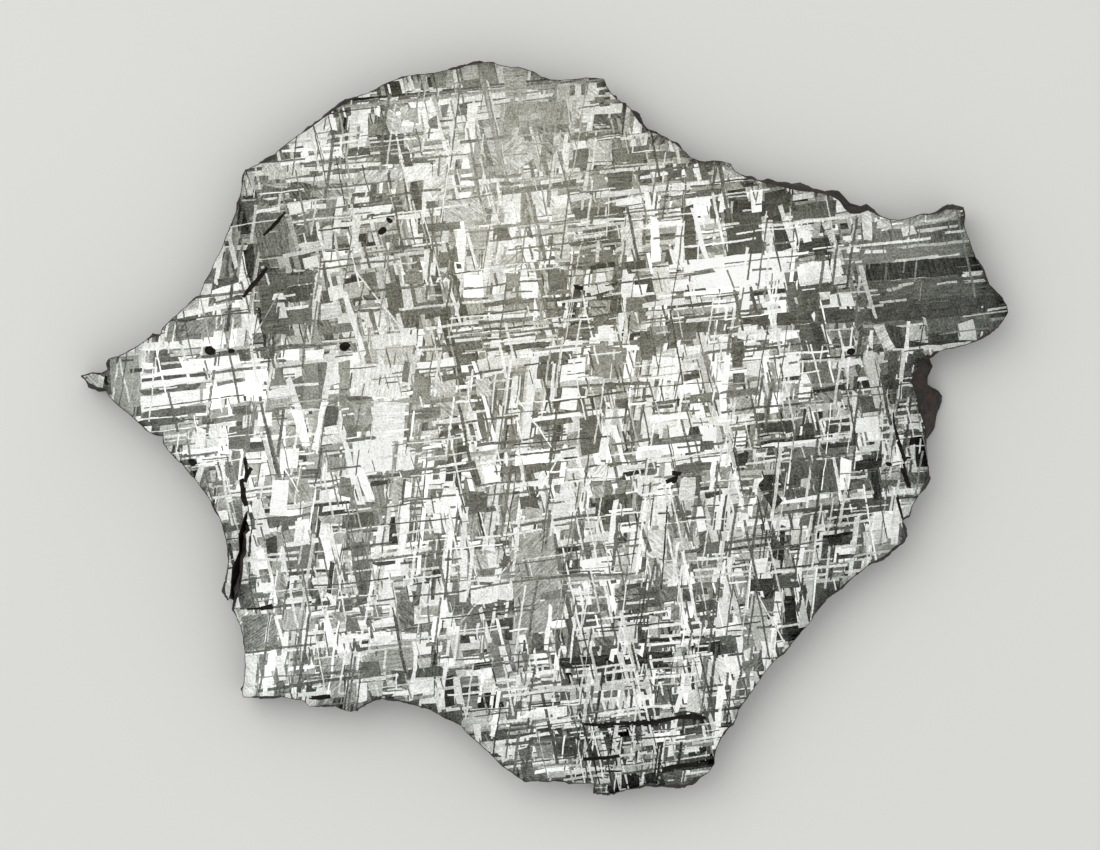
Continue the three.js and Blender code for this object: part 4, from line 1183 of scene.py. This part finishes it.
def band_between(mesh, upper, lower, row, place_map, material, flip):
    """A strip between two rings with equal numbers of corners."""
    count = len(upper)
    for segment in range(count):
        following = (segment + 1) % count
        corners = [upper[segment], lower[segment], lower[following]]
        where = [(segment, row), (segment, row + 1), (segment + 1, row + 1)]
        mesh.triangle(corners, place_map(corners, where, segment), material, BARE_PATCH, flip)
        corners = [upper[segment], lower[following], upper[following]]
        where = [(segment, row), (segment + 1, row + 1), (segment + 1, row)]
        mesh.triangle(corners, place_map(corners, where, segment), material, BARE_PATCH, flip)


def hollow_rings(hollow):
    """The mouth and the floor of a hollow as fine uneven rings."""
    mouth, floor = (refined(ring, HOLLOW_SUBSTEPS) for ring in hollow)
    shifts = np.array([tuple(shift_at(point, MOUTH_ROUGHNESS)) for point in mouth])
    shifts[:, 2] = 0
    return mouth + shifts, floor + shifts * 0.5


def add_hollow(mesh, chains, mouth, floor, to_map, flip):
    """The walls and the floor of a hollow, from the net's border round its mouth."""
    depth = abs(float(mouth[0, 2] - floor[0, 2]))
    material = MINERAL if depth < MINERAL_DEPTH else CRUST

    def place_map(corners, where, segment):
        return [to_map(*mesh.places[corner][:2]) for corner in corners]

    rows = []
    for step in range(1, HOLLOW_ROWS + 1):
        share = (step / HOLLOW_ROWS) ** 0.8
        row = mouth + (floor - mouth) * share
        row[:, 2] += [noise.noise(Vector(point) * 4) * 0.03 * (step != HOLLOW_ROWS) for point in row]
        rows.append([mesh.uneven_corner(*point) for point in row])
    stitch(mesh, chains, rows[0], place_map, material, flip)
    for upper, lower in zip(rows, rows[1:]):
        band_between(mesh, upper, lower, 0, place_map, material, flip)
    ring = [Vector(mesh.places[corner][:2]).to_3d() for corner in rows[-1]]
    for a, b, c in tessellate_polygon([ring]):
        turn = (ring[b] - ring[a]).cross(ring[c] - ring[a]).z
        corners = [rows[-1][index] for index in ((a, b, c) if turn > 0 else (a, c, b))]
        mesh.flat_mapped(corners, to_map, material, flip)


def add_cut_face(mesh, ring, hollows, face, patches, height, to_map, flip):
    """A cut face with its hollows. Gives the chains of its border."""
    outline = face_ring(ring)
    rings = [hollow_rings(hollow) for hollow in hollows]
    net = flat_net(outline, [mouth[:, :2] for mouth, _ in rings], patches, face)
    chains = border_chains(net)
    names = mesh.add_net(net, height, to_map, patches, flip)
    first = len(outline)
    for mouth, floor in rings:
        count = len(mouth)
        round_it = [
            [names[corner] for corner in chains[first + index]] for index in reversed(range(count))
        ]
        add_hollow(mesh, round_it, mouth[::-1], floor[::-1], to_map, flip)
        first += count
    return [[names[corner] for corner in chains[index]] for index in range(len(outline))]


def add_rim(mesh, top_chains, bottom_chains):
    """The rim between the borders of the two cut faces."""
    rows = [mesh.ring(row) for row in rim_rows()]
    columns, last = len(rows[0]), len(rows) + 1

    def top_map(corners, where, segment):
        return [rim_to_map(column, row, segment, columns, last) for column, row in where]

    def bottom_map(corners, where, segment):
        return [rim_to_map(column, last - row, segment, columns, last) for column, row in where]

    stitch(mesh, top_chains, rows[0], top_map, CRUST, False)
    for row, (upper, lower) in enumerate(zip(rows, rows[1:])):
        band_between(mesh, upper, lower, row + 1, top_map, CRUST, False)
    stitch(mesh, bottom_chains, rows[-1], bottom_map, CRUST, True)


def edge_distances(points):
    """How far each point lies from the outline."""
    following = np.roll(OUTLINE, -1, axis=0) - OUTLINE
    nearest = np.full(len(points), np.inf)
    for start, along in zip(OUTLINE, following):
        share = np.clip((points - start) @ along / (along @ along), 0, 1)
        nearest = np.minimum(nearest, np.linalg.norm(points - start - share[:, None] * along, axis=1))
    return nearest


POINT_LOOKS = ("lined", "shade", "calm", "clear", "warmth")


def zone_changes(places):
    """At each corner of the mesh, the rise in the share of A bands, the change of shade, part of which is
    painted sheen and glare, the shares of contrast and of needles lost, and the warmth, in the order of
    POINT_LOOKS."""
    points = places[:, :2]
    distance = edge_distances(points)
    changes = np.zeros((len(points), len(POINT_LOOKS)))
    changes[:, 1] = sum(change * np.exp(-distance / fade) for change, fade in EDGE_SHADES)
    on_front = places[:, 2] > THICKNESS / 2
    rows = [(x, y, reach, *change, 0) for x, y, reach, _, *change in ZONES]
    rows.append((*WARM_PLACE, 0, 0, 0, 0, 1))
    for x, y, reach, *change in rows:
        distance = np.square(points - from_photo(x, y)).sum(axis=1) / (reach / PHOTO_SCALE) ** 2
        changes += (np.exp(-distance) * on_front)[:, None] * change
    return changes.T


def slice_object(mesh):
    """The mesh as an object, in metres."""
    data = bpy.data.meshes.new("etched_slice")
    places = (np.array(mesh.places) * MM).tolist()
    data.from_pydata(places, [], mesh.triangles)
    data.polygons.foreach_set("material_index", np.array(mesh.materials, dtype=np.int32))
    for name in ("tone", "grain", "lay", "hatch"):
        values = np.array([getattr(look, name) for look in mesh.looks], dtype=np.float32)
        data.attributes.new(name, "FLOAT", "FACE").data.foreach_set("value", values)
    for name, values in zip(POINT_LOOKS, zone_changes(np.array(mesh.places))):
        data.attributes.new(name, "FLOAT", "POINT").data.foreach_set("value", values.astype(np.float32))
    data.polygons.foreach_set("use_smooth", np.array(mesh.materials) != ETCHED)
    layer = data.uv_layers.new(name="OFBake")
    layer.data.foreach_set("uv", np.array(mesh.map_places, dtype=np.float32).reshape(-1))
    data.update()
    print("triangles", len(mesh.triangles))
    piece = bpy.data.objects.new("etched_slice", data)
    bpy.context.scene.collection.objects.link(piece)
    return piece


# Materials


class Surface:
    """A material whose nodes are made by short calls."""

    def __init__(self, name, metallic, roughness):
        self.material = bpy.data.materials.new(name)
        self.material.use_nodes = True
        self.tree = self.material.node_tree
        self.shader = self.tree.nodes["Principled BSDF"]
        self.shader.inputs["Metallic"].default_value = metallic
        self.shader.inputs["Roughness"].default_value = roughness
        place = self.tree.nodes.new("ShaderNodeTexCoord").outputs["Object"]
        self.place = self.vector("SCALE", place, scale=1 / MM)

    def node(self, kind, inputs, **settings):
        """A node of that kind, with its settings, and with its inputs set to values or linked to sockets."""
        made = self.tree.nodes.new(kind)
        for name, value in settings.items():
            setattr(made, name, value)
        for name, value in inputs.items():
            if isinstance(value, bpy.types.NodeSocket):
                self.tree.links.new(value, made.inputs[name])
            else:
                made.inputs[name].default_value = value
        return made

    def math(self, operation, first, second=0.5, clamp=False):
        """A sum of two numbers. The second is the middle of a noise where it isn't given."""
        made = self.node("ShaderNodeMath", {0: first, 1: second}, operation=operation, use_clamp=clamp)
        return made.outputs[0]

    def vector(self, operation, first, second=None, scale=None):
        inputs = {0: first}
        if second is not None:
            inputs[1] = second
        if scale is not None:
            inputs["Scale"] = scale
        return self.node("ShaderNodeVectorMath", inputs, operation=operation).outputs["Vector"]

    def attribute(self, name):
        return self.node("ShaderNodeAttribute", {}, attribute_name=name).outputs["Fac"]

    def noise(self, size, detail=2.0, roughness=0.5, distortion=0.0, output="Fac", place=None):
        """Noise from 0 to 1 whose largest lumps are that many millimetres apart."""
        inputs = {
            "Vector": place or self.place,
            "Scale": 1 / size,
            "Detail": detail,
            "Roughness": roughness,
            "Distortion": distortion,
        }
        return self.node("ShaderNodeTexNoise", inputs).outputs[output]

    def turned(self, place, angle):
        """A place as seen along a direction: x runs along it and y across it."""
        inputs = {"Vector": place, "Angle": angle}
        return self.node("ShaderNodeVectorRotate", inputs, rotation_type="Z_AXIS", invert=True).outputs[0]

    def parts(self, vector):
        return self.node("ShaderNodeSeparateXYZ", {0: vector}).outputs

    def random(self, x, y, z):
        """Three random numbers from 0 to 1 for three numbers."""
        vector = self.node("ShaderNodeCombineXYZ", {0: x, 1: y, 2: z}).outputs[0]
        return self.parts(self.node("ShaderNodeTexWhiteNoise", {"Vector": vector}).outputs["Color"])

    def towards(self, value, goal, share):
        """The value, moved by a share of the way to the goal."""
        return self.math("ADD", value, self.math("MULTIPLY", self.math("SUBTRACT", goal, value), share))

    def needles(self, place, grain, plenty, number, angle, spacing, length, share, crossed):
        """Thin bars in one direction: where they are, as 0 or 1, and a random number of each bar's own.

        Lanes as wide as the spacing are cut into steps as long as the length. Each step can hold one bar."""
        along, across, _ = self.parts(self.turned(place, math.radians(angle)))
        lanes = self.math("DIVIDE", across, spacing)
        lane = self.math("FLOOR", lanes)
        start = self.random(lane, 0.5, number)[0]
        steps = self.math("ADD", self.math("DIVIDE", along, length), self.math("MULTIPLY", start, 9.0))
        own, reach, width = self.random(lane, self.math("FLOOR", steps), number)
        own = self.math("DIVIDE", own, self.math("MULTIPLY", plenty, share))
        there = self.math("LESS_THAN", own, 1.0)
        narrow = self.math("LESS_THAN", self.math("FRACT", lanes), self.span(width, 0, 1, 0.30, 0.85))
        short = self.math("LESS_THAN", self.math("FRACT", steps), self.span(reach, 0, 1, 0.4, 1.0))
        crossing = self.math("LESS_THAN", self.random(grain, 0.5, number)[0], crossed)
        on = self.math("MULTIPLY", self.math("MULTIPLY", there, narrow), short)
        return self.math("MULTIPLY", on, crossing), own

    def span(self, value, low, high, to_low=0.0, to_high=1.0):
        """The value, carried over from one range to another and held inside it."""
        inputs = {"Value": value, "From Min": low, "From Max": high, "To Min": to_low, "To Max": to_high}
        return self.node("ShaderNodeMapRange", inputs).outputs["Result"]

    def mix(self, share, first, second):
        """A mixture of two colours. The node's sockets go by number, as several of them share a name."""
        return self.node("ShaderNodeMix", {0: share, 6: first, 7: second}, data_type="RGBA").outputs[2]

    def wear(self, name, value):
        """Links a value to an input of the material's shader."""
        self.tree.links.new(value, self.shader.inputs[name])

    def bump(self, height, distance, strength=1.0, normal=None):
        inputs = {"Height": height, "Distance": distance * MM, "Strength": strength}
        if normal is not None:
            inputs["Normal"] = normal
        return self.node("ShaderNodeBump", inputs).outputs["Normal"]


def colour(red, green, blue):
    """A colour given by its display values from 0 to 255."""
    return (*(((value / 255 + 0.055) / 1.055) ** 2.4 for value in (red, green, blue)), 1.0)


# The share of a needle's tone that shows, and the strength of streaks, speckle, mottling and clouds
NEEDLE_STRENGTH = 0.9
STREAK_STRENGTH = 3.2
SPECKLE_STRENGTH = 1.7
MOTTLE_STRENGTH = 0.22
CLOUD_STRENGTH = 0.10

# The tone of the darkest needle, how far the tones spread from it, and how much brighter the bright half is
DARK_NEEDLE = 0.33
NEEDLE_SPREAD = 0.28
BRIGHT_NEEDLE_JUMP = 0.35

# How far a grain's normal can lean, as a share of the normal, and the height of the relief in millimetres
GRAIN_LEAN = 0.16
RELIEF_HEIGHT = 0.007

# The brightness of a tone is this power of it
TONE_POWER = 2.2


def needled(surface, tone, grain):
    """The tone with needles across the grains, which have uneven sides."""
    uneven = surface.vector("SUBTRACT", surface.noise(0.22, 1.0, output="Color"), (0.5, 0.5, 0.5))
    bent = surface.vector("SUBTRACT", surface.noise(5.0, 1.0, output="Color"), (0.5, 0.5, 0.5))
    place = surface.vector("ADD", surface.place, surface.vector("SCALE", uneven, scale=0.09))
    place = surface.vector("ADD", place, surface.vector("SCALE", bent, scale=0.5))
    plenty = surface.span(surface.attribute("clear"), -1.0, 0.9, 2.4, 0.05)
    plenty_of_a = surface.math("ADD", plenty, surface.math("MULTIPLY", surface.attribute("lined"), 4.0))
    for number, needle in enumerate(NEEDLES):
        lies_along_a = needle[0] < 45
        on, own = surface.needles(place, grain, plenty_of_a if lies_along_a else plenty, number, *needle)
        jump = surface.math("MULTIPLY", surface.math("GREATER_THAN", own, 0.5), BRIGHT_NEEDLE_JUMP)
        goal = surface.math("ADD", jump, surface.math("MULTIPLY", own, NEEDLE_SPREAD))
        goal = surface.math("ADD", goal, DARK_NEEDLE)
        tone = surface.towards(tone, goal, surface.math("MULTIPLY", on, NEEDLE_STRENGTH))
    return tone


def streaks_and_speckle(surface):
    """Streaks in each grain's own direction, and fine speckle, round 0."""
    turned = surface.turned(surface.place, surface.attribute("lay"))
    turned = surface.vector("MULTIPLY", turned, (0.8, 6.5, 1.0))
    streaks = surface.math("SUBTRACT", surface.noise(1.0, 3.0, 0.8, place=turned))
    streaks = surface.math("MULTIPLY", streaks, surface.attribute("hatch"))
    streaks = surface.math("MULTIPLY", streaks, STREAK_STRENGTH)
    speckle = surface.math("SUBTRACT", surface.noise(0.13, 2.0, 0.8))
    return surface.math("ADD", surface.math("MULTIPLY", speckle, SPECKLE_STRENGTH), streaks)


def leaning_normal(surface, grain):
    """The normal, which leans in each grain its own way a little, as its etched steps do."""
    lean = surface.node("ShaderNodeTexWhiteNoise", {"W": grain}, noise_dimensions="1D").outputs["Color"]
    lean = surface.vector("SCALE", surface.vector("SUBTRACT", lean, (0.5, 0.5, 0.5)), scale=GRAIN_LEAN)
    normal = surface.node("ShaderNodeNewGeometry", {}).outputs["Normal"]
    return surface.vector("NORMALIZE", surface.vector("ADD", normal, lean))


def etched_iron():
    surface = Surface("etched_iron_look", metallic=1.0, roughness=0.42)
    grain = surface.attribute("grain")
    tone = needled(surface, surface.attribute("tone"), grain)
    tone = surface.towards(tone, MEAN_TONE, surface.attribute("calm"))

    # The speckle is strongest in the middle tones, which are fine mixtures of two metals
    relief = streaks_and_speckle(surface)
    middling = surface.math("MULTIPLY", tone, surface.math("SUBTRACT", 1.25, tone))
    speckle = surface.math("MULTIPLY", relief, middling)
    mottle = surface.math("SUBTRACT", surface.noise(0.6, 3.0, 0.6))
    clouds = surface.math("SUBTRACT", surface.noise(7.0, 2.0, 0.5))
    tone = surface.math("ADD", tone, speckle)
    tone = surface.math("ADD", tone, surface.math("MULTIPLY", mottle, MOTTLE_STRENGTH))
    tone = surface.math("ADD", tone, surface.math("MULTIPLY", clouds, CLOUD_STRENGTH))
    # The shade darkens the tone towards the edge, and adds the zones' changes, part of which is painted sheen
    # and glare
    tone = surface.math("ADD", tone, surface.attribute("shade"), clamp=True)

    dark_tint = surface.mix(surface.attribute("warmth"), colour(246, 255, 237), colour(255, 249, 201))
    tint = surface.mix(tone, dark_tint, colour(254, 255, 252))
    brightness = surface.math("POWER", tone, TONE_POWER)
    surface.wear("Base Color", surface.mix(brightness, (0.0, 0.0, 0.0, 1.0), tint))
    surface.wear("Roughness", surface.span(speckle, -0.2, 0.2, 0.36, 0.50))
    surface.wear("Normal", surface.bump(relief, RELIEF_HEIGHT, 0.6, leaning_normal(surface, grain)))
    return surface.material


def crust():
    """Dark brown fusion crust with rust, pale grit and black pits."""
    surface = Surface("crust_look", metallic=0.0, roughness=0.8)
    lumps = surface.noise(2.6, 5.0, 0.6)
    grit = surface.noise(0.30, 5.0, 0.75)
    grain = surface.noise(0.09, 2.0, 0.7)
    patches = surface.noise(1.4, 5.0, 0.65, 0.6)
    base = surface.mix(surface.span(lumps, 0.38, 0.62), colour(34, 31, 29), colour(64, 53, 44))
    rust = surface.mix(surface.span(grit, 0.35, 0.65), colour(74, 47, 31), colour(112, 76, 50))
    base = surface.mix(surface.span(patches, 0.54, 0.70, 0.0, 0.85), base, rust)
    base = surface.mix(surface.span(grit, 0.56, 0.70, 0.0, 0.6), base, colour(122, 110, 94))
    base = surface.mix(surface.span(grain, 0.35, 0.6, 0.55, 0.0), base, colour(16, 14, 13))
    pits = surface.node("ShaderNodeTexVoronoi", {"Vector": surface.place, "Scale": 1.9}).outputs["Distance"]
    surface.wear("Base Color", surface.mix(surface.span(pits, 0.05, 0.3, 0.6, 0.0), base, colour(16, 14, 13)))
    surface.wear("Roughness", surface.span(grit, 0.3, 0.7, 0.50, 0.90))
    height = surface.math("ADD", surface.math("MULTIPLY", lumps, 1.5), surface.math("MULTIPLY", grit, 1.7))
    height = surface.math("ADD", height, surface.span(pits, 0.0, 0.45, -0.8, 0.0))
    surface.wear("Normal", surface.bump(height, 0.20))
    return surface.material


def mineral():
    """The nearly black, dull mineral in the nodules and fissures."""
    surface = Surface("mineral_look", metallic=0.0, roughness=0.7)
    surface.shader.inputs["Specular IOR Level"].default_value = 0.15
    grit = surface.noise(0.25, 3.0, 0.6)
    base = surface.mix(surface.span(grit, 0.35, 0.65), colour(10, 9, 8), colour(36, 31, 25))
    surface.wear("Base Color", base)
    surface.wear("Normal", surface.bump(grit, 0.05))
    return surface.material


def floor_look():
    surface = Surface("pale_floor_look", metallic=0.0, roughness=0.85)
    cloud = surface.noise(60.0, 3.0, 0.5)
    surface.wear("Base Color", surface.mix(cloud, colour(214, 214, 211), colour(220, 220, 217)))
    return surface.material


# Floor, light and camera

# In metres: the floor's size and how far it lies below the slice, and the key light's place and size
FLOOR_SIZE = 3.0
FLOOR_DROP = 0.00002
KEY_PLACE = (-0.25, 0.2, 0.45)
KEY_SIZE = 0.5

KEY_ENERGY = 1.0  # in watts
WORLD_STRENGTH = 0.80

# The camera's lens and sensor, in millimetres
LENS = 180.0
SENSOR = 36.0


def add_floor():
    bpy.ops.mesh.primitive_plane_add(size=FLOOR_SIZE, location=(0, 0, -FLOOR_DROP))
    floor = bpy.context.object
    floor.name = "pale_floor"
    floor.data.materials.append(floor_look())


def add_area_light(name, place, size, energy):
    """A square lamp that faces the middle of the slice."""
    data = bpy.data.lights.new(name, "AREA")
    data.shape = "SQUARE"
    data.size = size
    data.energy = energy
    lamp = bpy.data.objects.new(name, data)
    lamp.location = place
    lamp.rotation_euler = (-Vector(place)).to_track_quat("-Z", "Y").to_euler()
    bpy.context.scene.collection.objects.link(lamp)


def add_world():
    world = bpy.data.worlds.new("pale_studio")
    world.use_nodes = True
    back = world.node_tree.nodes["Background"]
    back.inputs["Color"].default_value = (1.0, 1.0, 1.0, 1.0)
    back.inputs["Strength"].default_value = WORLD_STRENGTH
    bpy.context.scene.world = world


def add_camera():
    """Looks straight down on the front face, as the photograph does, with its frame round the slice."""
    data = bpy.data.cameras.new("photo_camera")
    data.sensor_width = SENSOR
    data.lens = LENS
    camera = bpy.data.objects.new("photo_camera", data)
    distance = PHOTO_SIZE[0] / PHOTO_SCALE / SENSOR * LENS
    x, y = from_photo(PHOTO_SIZE[0] / 2, PHOTO_SIZE[1] / 2)
    camera.location = (x * MM, y * MM, (THICKNESS + distance) * MM)
    bpy.context.scene.collection.objects.link(camera)
    bpy.context.scene.camera = camera


# The slice, its place in the frame, and the scene round it

front = Face(FRONT_SEED, FRONT_ZONES, False)
landmarks = landmark_patches(LANDMARKS, LANDMARK_SEED)
front_patches = pattern(front, FRONT_BANDS, FRONT_FIELDS, FRONT_THIN_LINES, landmarks)
front_patches += landmark_patches(FISSURES, FISSURE_SEED)
back = Face(BACK_SEED, [], True)
back_patches = pattern(back, BACK_BANDS, BACK_FIELDS, BACK_THIN_LINES, [])

mesh = SliceMesh()
top_chains = add_cut_face(mesh, RINGS[0], FRONT_HOLLOWS, front, front_patches, THICKNESS, front_to_map, False)
bottom_chains = add_cut_face(mesh, RINGS[-1], BACK_HOLLOWS, back, back_patches, 0.0, back_to_map, True)
add_rim(mesh, top_chains, bottom_chains)
slice_piece = slice_object(mesh)
for look in (etched_iron(), crust(), mineral()):
    slice_piece.data.materials.append(look)
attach(slice_piece, "root")
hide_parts(NODE)

add_floor()
add_world()
add_area_light("key", KEY_PLACE, KEY_SIZE, KEY_ENERGY)
add_camera()
bpy.context.scene.view_settings.view_transform = "Standard"
